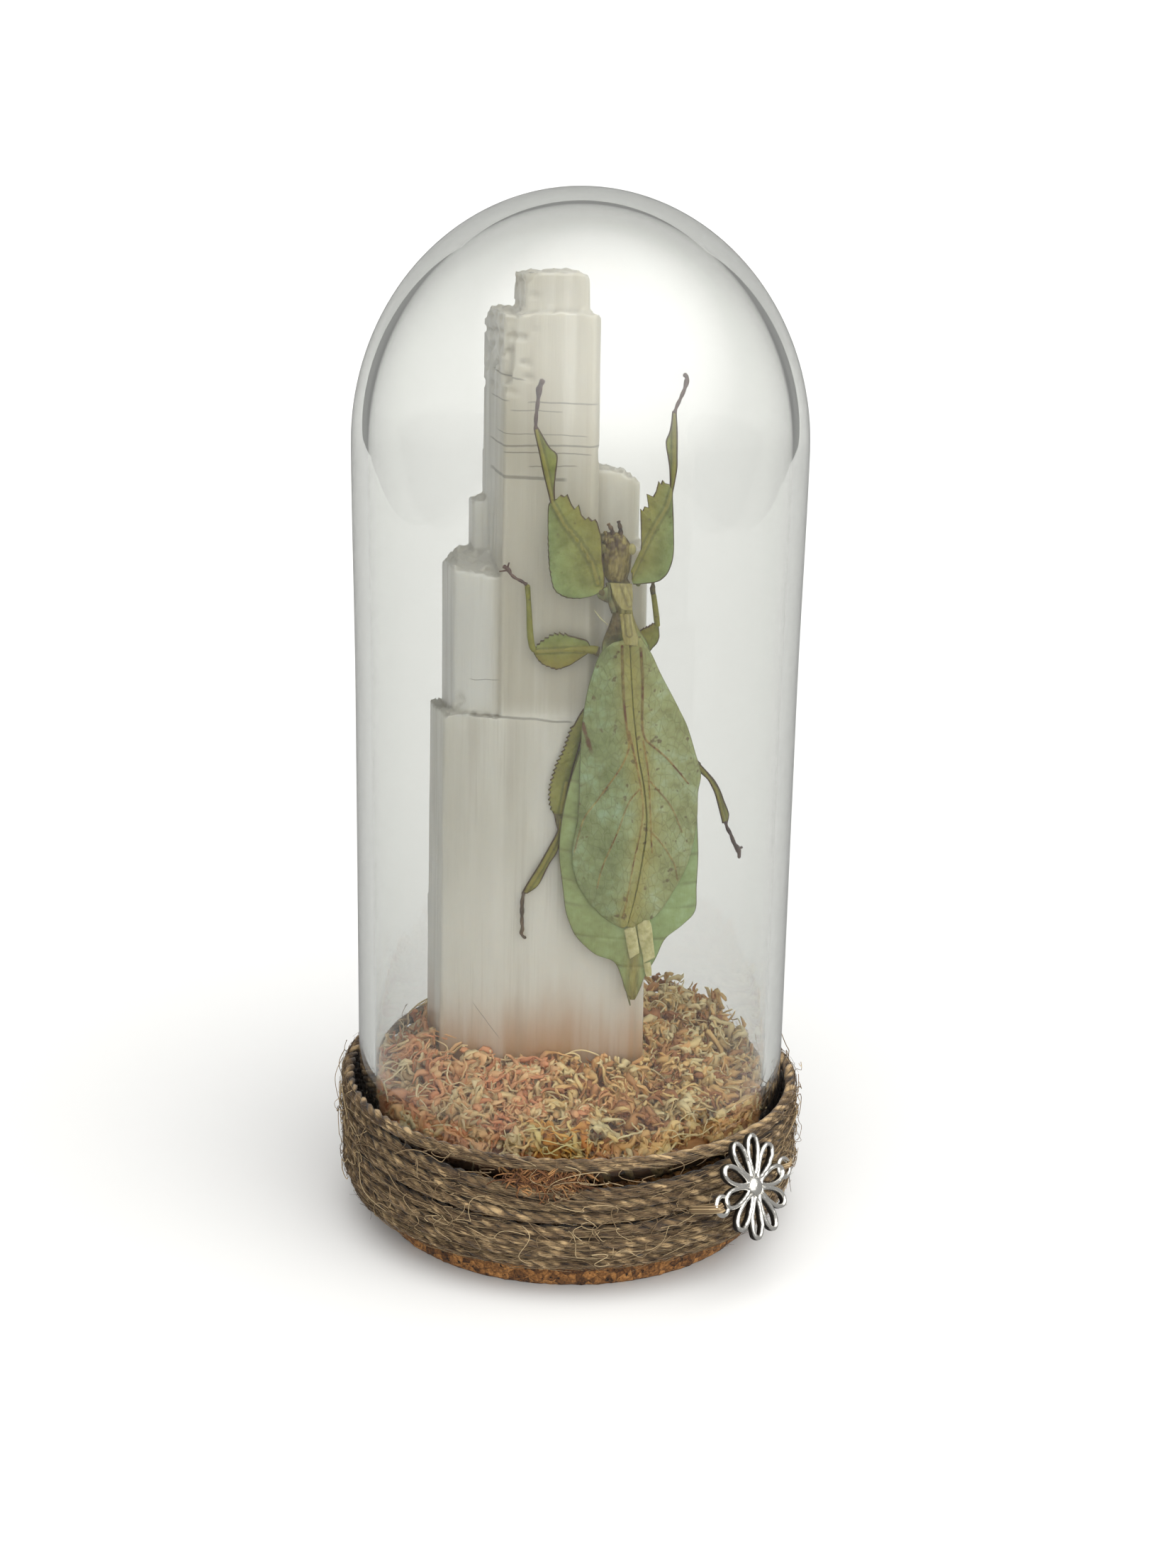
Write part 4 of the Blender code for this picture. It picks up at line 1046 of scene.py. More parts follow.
tower_mesh = carve_tower(fine_copy("selenite_tower", TOWER_VOXEL))
dress(place("selenite_crystal", tower_mesh, selenite_finish()), "selenite", "selenite_tower")

# %% [markdown]
# ## The insect
#
# A leaf insect is flat: its abdomen and its legs carry thin lobes that pass for leaves. A
# lobe is a surface between two edge lines, so rows run from its base to its tip and
# columns run round its thin section. Ribs and veins are lines drawn on it: the distance
# from each point to the nearest line raises the skin there and tells the finish where it is.

# %% Parts, and lines drawn on them
WING_ROOT = (8.9, 112.5)


def part(points, closed_rows=False, **marks):
    """A closed strip of rings with its marks; a single number stands for all points."""
    rows, columns = points.shape[:2]
    faces = grid_faces(rows, columns, close_rows=closed_rows, close_columns=True)
    return points.reshape(-1, 3), faces, marks


def join(name, parts, finish, marks):
    """One welded piece from several closed parts; each mark has a value where a part sets none."""
    points, faces, columns, start = [], [], {mark: [] for mark in marks}, 0
    for part_points, part_faces, part_marks in parts:
        points.append(part_points)
        faces.append(part_faces + start)
        start += len(part_points)
        for mark, usual in marks.items():
            values = np.asarray(part_marks.get(mark, usual), float).ravel()
            columns[mark].append(np.broadcast_to(values, len(part_points)))
    joined = {mark: np.concatenate(values) for mark, values in columns.items()}
    return weld(build(name, np.concatenate(points), [np.concatenate(faces)], finish, joined), 0.004)


def distance_to(lines, points):
    """The distance in plan from points of (x, z) to the nearest of several polylines."""
    best = np.full(points.shape[:-1], 99.0)
    for line in lines:
        corners = np.asarray(line, float)
        for a, b in zip(corners[:-1], corners[1:]):
            way = b - a
            share = np.clip(((points - a) @ way) / (way @ way), 0.0, 1.0)
            best = np.minimum(best, np.linalg.norm(points - (a + share[..., None] * way), axis=-1))
    return best


def in_world(x, y, z):
    """The insect's own x and z, with a depth, as world millimetres."""
    return np.stack(np.broadcast_arrays(x + WING_ROOT[0], y, z + WING_ROOT[1]), axis=-1)


# %% A blade between two edges, and a limb along a path
RIB_WIDTH, RIB_HEIGHT = 0.55, 0.2
LIMB_ROWS, LIMB_SIDES = 60, 12


def blade(edges, y, thickness, rib=(), saw=(), sharp=(False, False), slope=0.0, rows=150, columns=44, **marks):
    """A leaf-thin lobe: across each row its section is a flat, round-edged loop.

    An edge may carry saw teeth, given as (edge, from share, to share, pitch, height). A
    tooth climbs slowly and drops at once. The rib lines stand up from the front by a bell
    of their distance. The slope brings the last row forward. A mark given as a pair runs
    from the first edge to the second.
    """
    share = np.linspace(0.0, 1.0, rows)
    first, second = [curve(edge, rows, smooth=not rough) for edge, rough in zip(edges, sharp)]
    for edge, low, high, pitch, tooth in saw:
        line, other = (first, second) if edge == 0 else (second, first)
        length = np.linalg.norm(np.diff(line, axis=0), axis=1).sum()
        teeth = tooth * (share * length / pitch % 1.0) ** 1.5 * ((share >= low) & (share <= high))
        line += unit(line - other) * teeth[:, None]
    turn = full_turn(columns)
    across = ((1 - np.cos(turn)) / 2)[None, :, None]
    flat = first[:, None] * (1 - across) + second[:, None] * across
    across = across[..., 0]
    closing = np.minimum(1.0, np.minimum(share, share[::-1]) / 0.03)[:, None]
    swell = np.sign(np.sin(turn)) * np.abs(np.sin(turn)) ** 0.5 * thickness / 2 * closing
    edge_gap = np.minimum(across, 1 - across) * np.linalg.norm(second - first, axis=1)[:, None]
    near_rib = bell(distance_to(rib, flat), RIB_WIDTH)
    relief = RIB_HEIGHT * near_rib**2 + 0.06 * ripple(flat, 1.6, 61) * step(0.2, 0.8, edge_gap)
    depth = y - slope * share[:, None] - swell - np.where(np.sin(turn) > 0.0, relief * closing, 0.0)
    for name, value in marks.items():
        if isinstance(value, tuple):
            marks[name] = np.broadcast_to(value[0] + (value[1] - value[0]) * across, edge_gap.shape)
    return part(in_world(flat[..., 0], depth, flat[..., 1]), **{"edge": edge_gap, "rib": near_rib, **marks})


def limb(points, radii, beads=0.0, **marks):
    """A round limb through (x, z, y) points; beads narrow it between the joints of a foot."""
    path = curve(points, LIMB_ROWS)
    share = np.linspace(0.0, 1.0, LIMB_ROWS)
    waist = 1 - 0.28 * np.abs(np.sin(np.pi * share * beads)) ** 4
    radius = np.interp(share, np.linspace(0.0, 1.0, len(radii)), radii) * waist
    radius = radius * np.sqrt(np.clip(np.minimum(share, share[::-1]) / 0.03, 0.0, 1.0))
    centre = in_world(path[:, 0], path[:, 2], path[:, 1])
    along = unit(np.gradient(centre, axis=0))
    up = unit(np.cross(along, np.cross((0.0, 1.0, 0.0), along)))
    turn = full_turn(LIMB_SIDES)[:, None]
    ring = np.cos(turn) * np.cross(along, up)[:, None] + np.sin(turn) * up[:, None]
    return part(centre[:, None] + radius[:, None, None] * ring, **marks)


def flat_limb(points, radii, y, **marks):
    """A limb that lies at one depth."""
    return limb([(x, z, y) for x, z in points], radii, **marks)


def blob(middle, size, rows=24, columns=32, **marks):
    """An ellipsoid at (x, z, y) of the insect, with half sizes along x, z and y."""
    lift, turn = np.linspace(-np.pi / 2, np.pi / 2, rows)[:, None], full_turn(columns)
    x = middle[0] + size[0] * np.cos(lift) * np.cos(turn)
    y = middle[2] + size[2] * np.cos(lift) * np.sin(turn)
    return part(in_world(x, y, middle[1] + size[1] * np.sin(lift)), **marks)


# %% Leg finish
LEG_MARKS = {"edge": 0.6, "rib": 0.0, "mint": 0.0, "dark": 0.0, "warm": 0.0, "deep": 0.0}


def leg_finish():
    """Leaf green, here mint and there olive, with a ridged rib, brown rims and purple-brown feet; dark olive
    with painted shade where a wing's edge lies over a leg.
    """
    leg = Finish("leg_green")
    edge, rib, mint, dark, warm, deep = (leg.mark(name) for name in LEG_MARKS)
    mottle = leg.noise(3.0, detail=4.0)
    specks = leg.noise(0.8, detail=3.0).rise(0.62, 0.72)
    fringe = (edge + (mottle - 0.5) * 0.3).rise(0.36, 0.12)
    body = leg.ramp(mottle, (0.3, 102, 106, 34), (0.5, 128, 134, 52), (0.72, 150, 154, 70))
    colour = leg.over(
        body,
        mint, leg.ramp(mottle, (0.35, 120, 136, 72), (0.65, 148, 166, 106)),
        warm, (152, 130, 46),
        # Dark olive of the leg's own, with painted shade where the wing's edge lies over it.
        deep, (84, 86, 14),
        rib.rise(0.1, 0.35) * rib.rise(0.85, 0.6) * 0.4, (80, 72, 24),
        rib.rise(0.6, 0.9) * 0.6, (150, 138, 58),
        specks * 0.55, (92, 66, 30),
        fringe * 0.9, (66, 34, 18),
        dark, leg.ramp(mottle, (0.35, 66, 42, 38), (0.7, 116, 90, 78)))
    return leg.surface(base_color=colour, roughness=0.52, normal=leg.bump(leg.noise(0.5, detail=3.0), 0.08),
                       subsurface_weight=0.15, subsurface_radius=(0.8, 1.0, 0.3), subsurface_scale=0.0006)


# %% Six legs
FORELEG_Y, MIDLEG_Y, HINDLEG_Y = -9.2, -5.5, -4.85
FEMUR_T, TIBIA_T = 0.55, 0.46
LEFT_FORE_FEMUR = (
    [(-5.6, 9.0), (-7.1, 8.4), (-9.3, 8.1), (-11.3, 8.4), (-13.0, 9.6), (-13.7, 11.9), (-14.1, 14.7),
     (-14.3, 18.4), (-14.4, 22.4), (-14.3, 24.6), (-13.8, 25.3)],
    [(-4.9, 9.4), (-4.3, 10.4), (-4.3, 12.0), (-4.7, 15.0), (-5.0, 19.2), (-5.7, 21.7), (-6.1, 22.3),
     (-6.6, 22.0), (-7.3, 22.7), (-7.7, 22.2), (-8.5, 23.0), (-9.0, 24.8), (-9.6, 23.9), (-10.3, 24.9),
     (-11.0, 26.6), (-11.5, 26.1), (-12.1, 26.5), (-12.3, 25.8), (-13.2, 25.6)],
)
LEFT_FORE_TIBIA = (
    [(-13.8, 24.2), (-14.7, 27.8), (-15.3, 30.0), (-16.0, 33.3), (-16.8, 36.7), (-17.0, 37.9)],
    [(-13.0, 24.4), (-13.2, 27.8), (-12.8, 32.4), (-13.1, 33.6), (-14.2, 34.6), (-16.2, 37.9)],
)
RIGHT_FORE_FEMUR = (
    [(0.7, 10.8), (2.2, 10.9), (4.7, 11.3), (5.9, 12.0), (6.9, 13.4), (7.6, 16.3), (7.5, 21.3),
     (7.2, 26.3), (7.2, 28.4)],
    [(0.4, 11.7), (0.4, 13.4), (1.2, 15.3), (1.8, 16.6), (1.9, 18.1), (1.7, 21.9), (1.6, 24.3),
     (2.0, 23.9), (2.3, 24.7), (3.0, 24.5), (2.6, 26.9), (3.7, 26.4), (4.2, 27.3), (4.6, 29.1),
     (5.0, 28.6), (5.3, 29.3), (5.6, 28.8), (6.5, 28.6)],
)
RIGHT_FORE_TIBIA = (
    [(7.2, 27.2), (7.8, 31.0), (7.8, 33.7), (7.7, 37.4), (7.4, 41.1)],
    [(6.6, 27.2), (6.4, 31.3), (5.7, 35.2), (5.8, 36.4), (6.2, 37.4), (6.5, 39.2), (6.6, 41.1)],
)
LEFT_MID_FEMUR = (
    [(-6.5, -1.6), (-7.0, -0.4), (-8.2, 0.1), (-11.0, 0.7), (-13.0, 0.7), (-14.5, -0.1), (-15.8, -1.2),
     (-16.6, -2.0)],
    [(-6.5, -2.3), (-7.5, -3.1), (-9.2, -4.3), (-10.3, -5.0), (-12.1, -5.6), (-13.2, -5.5), (-15.2, -4.6),
     (-16.6, -2.9)],
)
RIGHT_MID_FEMUR = (
    [(1.9, 1.6), (2.6, 2.0), (3.8, 2.6), (4.6, 3.1), (5.3, 3.2)],
    [(3.6, -1.4), (4.1, -2.0), (4.6, -1.4), (5.3, -0.6), (5.7, 0.6), (5.6, 2.0), (5.5, 3.0)],
)
LEFT_HIND_FEMUR = (
    [(-6.1, -11.3), (-8.0, -13.6), (-9.8, -17.4), (-11.0, -21.1), (-12.1, -23.4), (-12.8, -25.8),
     (-13.3, -28.2), (-13.3, -30.9), (-12.7, -33.0)],
    [(-5.4, -12.0), (-6.9, -14.6), (-8.1, -20.0), (-9.3, -24.7), (-10.0, -28.7), (-10.3, -31.9),
     (-11.0, -33.8)],
)
LEFT_HIND_TIBIA = (
    [(-11.9, -33.0), (-12.0, -36.2), (-14.0, -40.4), (-15.6, -43.4), (-17.2, -46.2), (-18.3, -48.3)],
    [(-10.8, -33.4), (-11.3, -36.9), (-11.8, -40.1), (-13.3, -42.7), (-15.2, -46.7), (-17.3, -48.5)],
)
RIGHT_HIND_FEMUR = (
    [(3.4, -9.0), (6.1, -13.8), (9.5, -18.2), (12.0, -21.2), (13.9, -22.9)],
    [(2.6, -11.0), (3.6, -15.5), (6.6, -20.5), (10.2, -23.6), (13.4, -24.3)],
)
RIGHT_HIND_TIBIA = (
    [(13.0, -22.2), (15.6, -25.0), (16.6, -26.2), (17.6, -28.0), (18.3, -29.8), (19.2, -32.0),
     (19.3, -32.9), (19.1, -34.1)],
    [(12.6, -23.4), (14.0, -24.9), (15.1, -25.9), (15.9, -27.3), (16.6, -28.9), (17.6, -32.4),
     (18.1, -34.3)],
)
LEFT_HIND_LOBE = (
    [(-8.5, -21.0), (-9.5, -24.4), (-10.0, -28.0), (-10.4, -31.9), (-10.9, -34.6), (-11.4, -36.6)],
    [(-8.1, -21.0), (-8.0, -26.7), (-8.0, -33.0), (-8.4, -37.4), (-9.4, -38.9), (-10.6, -38.3)],
)
LEFT_HIND_KNEE = ([(-12.6, -32.8), (-12.3, -34.6), (-11.9, -36.0)],
                  [(-10.9, -33.4), (-10.8, -34.8), (-11.2, -36.2)])
LEFT_FORE_RIB = [(-13.5, 24.9), (-11.4, 21.2), (-9.9, 19.5), (-8.2, 17.3), (-6.4, 14.2), (-5.5, 11.0)]
RIGHT_FORE_RIB = [(7.0, 27.6), (6.2, 24.7), (3.8, 20.4), (2.1, 16.6), (0.4, 12.6)]
FORE_RIB_RADII = (0.42, 0.42, 0.34)

LEGS = {
    "foreleg_left": [
        blade(LEFT_FORE_FEMUR, FORELEG_Y, FEMUR_T, rib=[LEFT_FORE_RIB], sharp=(False, True),
              saw=[(0, 0.1, 0.75, 1.1, 0.14)], mint=(1.0, 0.0), warm=(0.0, 0.35)),
        blade(LEFT_FORE_TIBIA, FORELEG_Y, TIBIA_T, rib=[[(-13.6, 25.0), (-14.6, 30.0), (-16.6, 37.6)]]),
        flat_limb(LEFT_FORE_RIB[::-1], FORE_RIB_RADII, FORELEG_Y, rib=0.8),
        flat_limb([(-16.6, 37.2), (-16.6, 39.4), (-16.2, 43.3), (-16.1, 44.5), (-15.7, 45.5), (-15.4, 46.1)],
                  (0.40, 0.36, 0.36, 0.38, 0.60, 0.50), FORELEG_Y, beads=4.0, dark=1.0),
        limb([(-5.4, 9.9, FORELEG_Y), (-4.6, 9.0, -8.4), (-3.85, 7.9, -7.3)], (0.5, 0.7, 0.45), dark=0.7),
    ],
    "foreleg_right": [
        blade(RIGHT_FORE_FEMUR, FORELEG_Y, FEMUR_T, rib=[RIGHT_FORE_RIB], sharp=(False, True),
              mint=(1.0, 0.0), warm=(0.0, 0.4)),
        blade(RIGHT_FORE_TIBIA, FORELEG_Y, TIBIA_T, rib=[[(7.2, 28.0), (7.2, 34.0), (7.0, 41.0)]]),
        flat_limb(RIGHT_FORE_RIB[::-1], FORE_RIB_RADII, FORELEG_Y, rib=0.8),
        flat_limb([(7.0, 40.6), (7.4, 41.9), (8.0, 43.3), (8.6, 44.8), (8.9, 46.0), (8.9, 46.9), (8.3, 47.4)],
                  (0.40, 0.34, 0.36, 0.36, 0.40, 0.50, 0.38), FORELEG_Y, beads=4.0, dark=1.0),
        limb([(1.7, 12.0, FORELEG_Y), (1.8, 11.4, -8.2), (1.6, 10.4, -7.2)], (0.5, 0.6, 0.45), dark=0.3),
    ],
    "midleg_left": [
        blade(LEFT_MID_FEMUR, MIDLEG_Y, FEMUR_T, rib=[[(-6.5, -2.0), (-11.0, -2.0), (-16.3, -2.4)]],
              saw=[(0, 0.4, 0.95, 0.95, 0.5), (1, 0.5, 0.95, 0.9, 0.2)], mint=(0.5, 0.0), warm=(0.0, 0.6)),
        flat_limb([(-5.05, -2.3), (-6.0, -2.0), (-9.0, -1.9), (-16.3, -2.4)], (0.9, 0.62, 0.34, 0.35),
                  MIDLEG_Y, warm=0.4),
        flat_limb([(-4.9, -2.3), (-6.2, -2.1)], (0.95, 0.7), MIDLEG_Y, dark=0.75),
        flat_limb([(-16.2, -2.5), (-16.9, -1.5), (-17.3, 1.1), (-17.6, 6.3), (-17.9, 9.8)],
                  (0.55, 0.58, 0.52, 0.44, 0.50), MIDLEG_Y, warm=0.25),
        flat_limb([(-17.9, 9.6), (-19.0, 10.3), (-20.0, 10.8), (-20.8, 11.5), (-21.2, 12.2), (-22.2, 13.0)],
                  (0.38, 0.32, 0.30, 0.32, 0.42, 0.40), MIDLEG_Y, beads=4.0, dark=1.0),
        flat_limb([(-21.4, 12.2), (-22.9, 11.9)], (0.2, 0.12), MIDLEG_Y, dark=1.0),
        flat_limb([(-21.5, 12.4), (-21.1, 13.6)], (0.2, 0.12), MIDLEG_Y, dark=1.0),
    ],
    "midleg_right": [
        blade(RIGHT_MID_FEMUR, MIDLEG_Y, FEMUR_T, saw=[(0, 0.15, 0.95, 0.6, 0.22)], warm=(0.5, 0.0)),
        flat_limb([(5.3, 2.4), (5.0, 4.7), (4.7, 6.7), (4.4, 8.6)], (0.5, 0.54, 0.50, 0.46),
                  MIDLEG_Y, warm=0.3),
        flat_limb([(4.4, 8.3), (4.2, 9.6)], (0.46, 0.5), MIDLEG_Y, dark=0.7),
        flat_limb([(4.3, 9.4), (4.3, 10.8), (4.4, 12.4), (5.1, 14.0)], (0.50, 0.32, 0.30, 0.35), MIDLEG_Y,
                  beads=3.0, dark=0.8),
    ],
    "hindleg_left": [
        blade(LEFT_HIND_FEMUR, HINDLEG_Y, FEMUR_T, rib=[[(-10.4, -27.0), (-11.3, -32.6)]],
              saw=[(0, 0.25, 0.98, 0.95, 0.5)], deep=(-1.4, 1.0), mint=(0.45, 0.0), warm=(0.45, 0.1)),
        blade(LEFT_HIND_TIBIA, HINDLEG_Y, TIBIA_T, warm=0.3,
              rib=[[(-11.4, -34.0), (-12.2, -38.0), (-14.6, -43.0), (-17.6, -48.0)]]),
        blade(LEFT_HIND_LOBE, HINDLEG_Y + 0.15, 0.3, deep=(0.15, 0.75), mint=(0.6, 0.2), edge=1.0),
        blade(LEFT_HIND_KNEE, HINDLEG_Y, 0.7, rows=40, dark=0.6),
        limb([(-6.0, -12.6, HINDLEG_Y), (-5.9, -9.5, -4.95), (-5.3, -6.0, -5.2)], (0.27, 0.3, 0.4), deep=0.5),
        flat_limb([(-17.9, -48.0), (-18.2, -50.1), (-18.2, -52.2), (-18.2, -53.9), (-18.1, -55.4),
                   (-18.3, -56.2), (-17.9, -56.9), (-17.3, -57.2)],
                  (0.42, 0.34, 0.42, 0.40, 0.36, 0.38, 0.36, 0.3), HINDLEG_Y, beads=5.0, dark=0.9),
    ],
    "hindleg_right": [
        blade(RIGHT_HIND_FEMUR, HINDLEG_Y, FEMUR_T),
        blade(RIGHT_HIND_TIBIA, HINDLEG_Y, TIBIA_T, warm=0.2,
              rib=[[(13.4, -23.2), (16.6, -27.6), (18.4, -33.6)]]),
        flat_limb([(18.6, -33.6), (19.0, -35.0), (19.7, -36.3), (20.4, -38.0), (21.0, -38.9), (21.4, -39.9),
                   (21.4, -41.0)], (0.46, 0.34, 0.40, 0.38, 0.50, 0.55, 0.25), HINDLEG_Y, beads=4.0, dark=1.0),
        flat_limb([(21.0, -39.2), (22.0, -38.7)], (0.22, 0.24), HINDLEG_Y, dark=1.0),
    ],
}
LEG_FINISH = leg_finish()
for leg_name, leg_parts in LEGS.items():
    dress(join(leg_name + "_blades", leg_parts, LEG_FINISH, LEG_MARKS), "leg_green", leg_name)

# %% [markdown]
# ### Wings
#
# The two forewings lie over the abdomen and meet along the back. Their veins copy a leaf's
# ribs: two main veins run down, bend out to the edge and give off branches.

# %% Forewings with their veins
WING_Y = -8.05
WING_T = 0.5
WING_ROOT_LIFT = 1.3
WING_CAMBER, WING_END_DROOP = 0.35, 0.25
WING_ROWS, WING_HALF = 300, 62
VEIN_HEIGHT, FOLD_HEIGHT = 0.16, 0.25
WING_MARKS = {"vein": 0.0, "olive": 0.0, "edge": 1.0, "bruise": 0.0}
WING_MIDLINE = [(0.3, 1.2), (0.7, -4.5), (1.3, -12.3), (2.3, -20.3), (3.6, -27.0), (4.2, -33.6), (3.6, -40.4),
                (2.5, -47.3), (1.1, -53.4)]
WING_LEFT_EDGE = [(-2.7, 0.2), (-4.4, -1.4), (-5.6, -4.1), (-7.0, -9.2), (-7.8, -15.5), (-8.1, -24.0),
                  (-8.2, -32.0), (-9.2, -39.5), (-8.4, -44.7), (-6.3, -48.5), (-3.4, -51.8), (0.2, -54.0)]
WING_RIGHT_EDGE = [(2.2, 1.5), (4.1, -1.5), (6.1, -5.7), (9.4, -11.9), (11.0, -15.2), (12.6, -20.1),
                   (13.7, -24.0), (13.3, -27.5), (13.3, -32.1), (12.8, -36.8), (11.7, -41.6), (9.5, -46.5),
                   (6.4, -51.3), (2.4, -53.8)]
LEFT_VEINS = [
    [(-1.0, -0.3), (-0.7, -6.6), (-0.4, -10.7), (0.2, -15.6), (0.7, -18.7), (0.1, -21.1), (-1.5, -24.3),
     (-4.8, -29.3), (-7.2, -33.0), (-8.8, -39.3)],
    [(0.6, -16.2), (1.6, -20.3), (2.8, -25.6), (3.5, -30.6), (3.1, -35.0), (2.0, -41.1), (1.1, -47.3),
     (0.3, -51.4)],
    [(2.8, -26.9), (0.8, -29.7), (-0.8, -34.6), (-3.6, -41.9), (-4.5, -46.0)],
]
RIGHT_VEINS = [
    [(2.3, -0.7), (2.8, -6.6), (2.9, -14.1), (3.5, -17.4), (5.9, -19.6), (8.0, -21.6), (11.5, -25.8)],
    [(3.2, -18.0), (4.1, -23.0), (4.6, -28.1), (5.0, -34.5), (5.3, -39.0)],
    [(4.7, -25.5), (6.7, -27.8), (8.7, -30.5), (10.6, -35.0)],
    [(5.0, -34.9), (7.3, -37.6), (9.3, -41.0), (10.1, -44.4)],
]
FOLD = [(11.7, -32.1), (12.8, -36.4)]
BRUISE = [(-7.7, -15.1), (-5.9, -20.4)]


def wing_part(outer_edge, side, veins):
    """A cambered sheet from the midline out to the edge and back behind itself."""
    down = np.linspace(0.0, 1.0, WING_ROWS)
    inner, outer = curve(WING_MIDLINE, WING_ROWS) + (side * 0.02, 0.0), curve(outer_edge, WING_ROWS)
    across = np.concatenate([np.linspace(0.0, 1.0, WING_HALF), np.linspace(1.0, 0.0, WING_HALF)])[None]
    front = (np.arange(2 * WING_HALF) < WING_HALF)[None]
    flat = inner[:, None] * (1 - across[..., None]) + outer[:, None] * across[..., None]
    gap = distance_to([curve(vein, 40) for vein in veins], flat)
    vein = bell(gap, 0.13 + 0.13 * step(-30.0, -2.0, flat[..., 1]))
    width = np.linalg.norm(outer - inner, axis=1)[:, None]
    edge_gap = (1 - across) * width
    ends = np.minimum(1.0, np.minimum(down, down[::-1]) / 0.012)[:, None]
    thinning = np.clip(np.minimum(edge_gap / 1.6, across * width / 0.08), 0.0, 1.0)
    wall = WING_T / 2 * ends * np.sqrt(thinning)
    rise = WING_ROOT_LIFT * step(-4.0, 1.5, flat[..., 1])
    wave = 0.16 * ripple(flat, 9.0, 71) + 0.05 * ripple(flat, 2.6, 72)
    raised = VEIN_HEIGHT * vein + FOLD_HEIGHT * bell(distance_to([FOLD], flat), 0.4)
    droop = WING_CAMBER + WING_END_DROOP * step(-28.0, -48.0, flat[..., 1])
    middle = WING_Y - rise + droop * across**2 + wave * ends
    y = np.where(front, middle - wall - raised * ends, middle + wall)
    return part(in_world(flat[..., 0], y, flat[..., 1]), vein=vein, edge=edge_gap,
                olive=bell(distance_to([WING_MIDLINE], flat), 2.4),
                bruise=bell(distance_to([BRUISE], flat), 0.9))


def wing_finish():
    """Grey mint, yellower along the back, yellower with painted light on the right, with tan veins, dark dashes
    and a fine net.
    """
    wing = Finish("mint_wing")
    vein, olive, edge, bruise = (wing.mark(name) for name in WING_MARKS)
    x, z = wing.axis("X"), wing.axis("Z")
    mottle = wing.noise(1.4, detail=4.0)
    net = wing.cells(1.1, scale=(1.0, 0.3, 0.55), feature="DISTANCE_TO_EDGE").rise(0.10, 0.0)
    flecks = wing.noise(1.5, scale=(1.0, 0.4, 0.8), detail=2.0).rise(0.63, 0.71)
    dashes = wing.noise(2.2, scale=(1.0, 1.0, 0.7), detail=2.0).rise(0.56, 0.62)
    tone = wing.noise(7.0, detail=4.0) * 0.6 + mottle * 0.4
    left = wing.ramp(tone, (0.34, 118, 128, 74), (0.5, 140, 152, 99), (0.66, 158, 178, 138))
    right = wing.ramp(tone, (0.34, 146, 150, 92), (0.5, 168, 175, 120), (0.66, 184, 200, 156))
    tan = wing.ramp(mottle, (0.38, 112, 60, 26), (0.50, 156, 112, 50), (0.62, 184, 158, 84))
    root_tan = wing.ramp(mottle, (0.4, 110, 84, 38), (0.6, 142, 122, 60))
    stain = (bruise * 1.2 + (flecks + mottle - 0.6) * 1.2).rise(0.75, 1.15) * bruise.rise(0.1, 0.3)
    colour = wing.over(
        left,
        # Right of x 7 to 15 the yellower ramp takes over; its extra lightness is painted light from the right.
        x.rise(7.0, 15.0), right,
        olive * 0.7, (172, 158, 74),
        net * 0.25, (104, 106, 56),
        flecks * 0.7, (96, 70, 36),
        vein.rise(0.1, 0.6) * (z.rise(78.0, 100.0) * 0.35 + 0.5), wing.over(tan, z.rise(88.0, 104.0), root_tan),
        vein.rise(0.3, 0.7) * dashes * 0.8, (100, 46, 20),
        edge.rise(0.2, 0.05) * z.rise(70.0, 80.0) * 0.5, (92, 74, 38),
        stain * 0.85, (100, 50, 28))
    relief = mottle * 0.5 - net * 0.4
    return wing.surface(base_color=colour, roughness=0.55, normal=wing.bump(relief, 0.08),
                        subsurface_weight=0.2, subsurface_radius=(0.7, 1.0, 0.4), subsurface_scale=0.0006)


WING_FINISH = wing_finish()
for wing_name, outer_edge, side, veins in (("forewing_left", WING_LEFT_EDGE, -1, LEFT_VEINS),
                                           ("forewing_right", WING_RIGHT_EDGE, 1, RIGHT_VEINS)):
    wing_parts = [wing_part(outer_edge, side, veins)]
    dress(join(wing_name + "_veined", wing_parts, WING_FINISH, WING_MARKS), "mint_wing", wing_name)

# %% [markdown]
# ### Head, thorax and abdomen
#
# The body is one loft: its stations give a left side, a right side, a depth and a half
# thickness at each height. The abdomen is as thin as a leaf and the head is round, so the
# section turns from a flat loop to an oval on the way up.

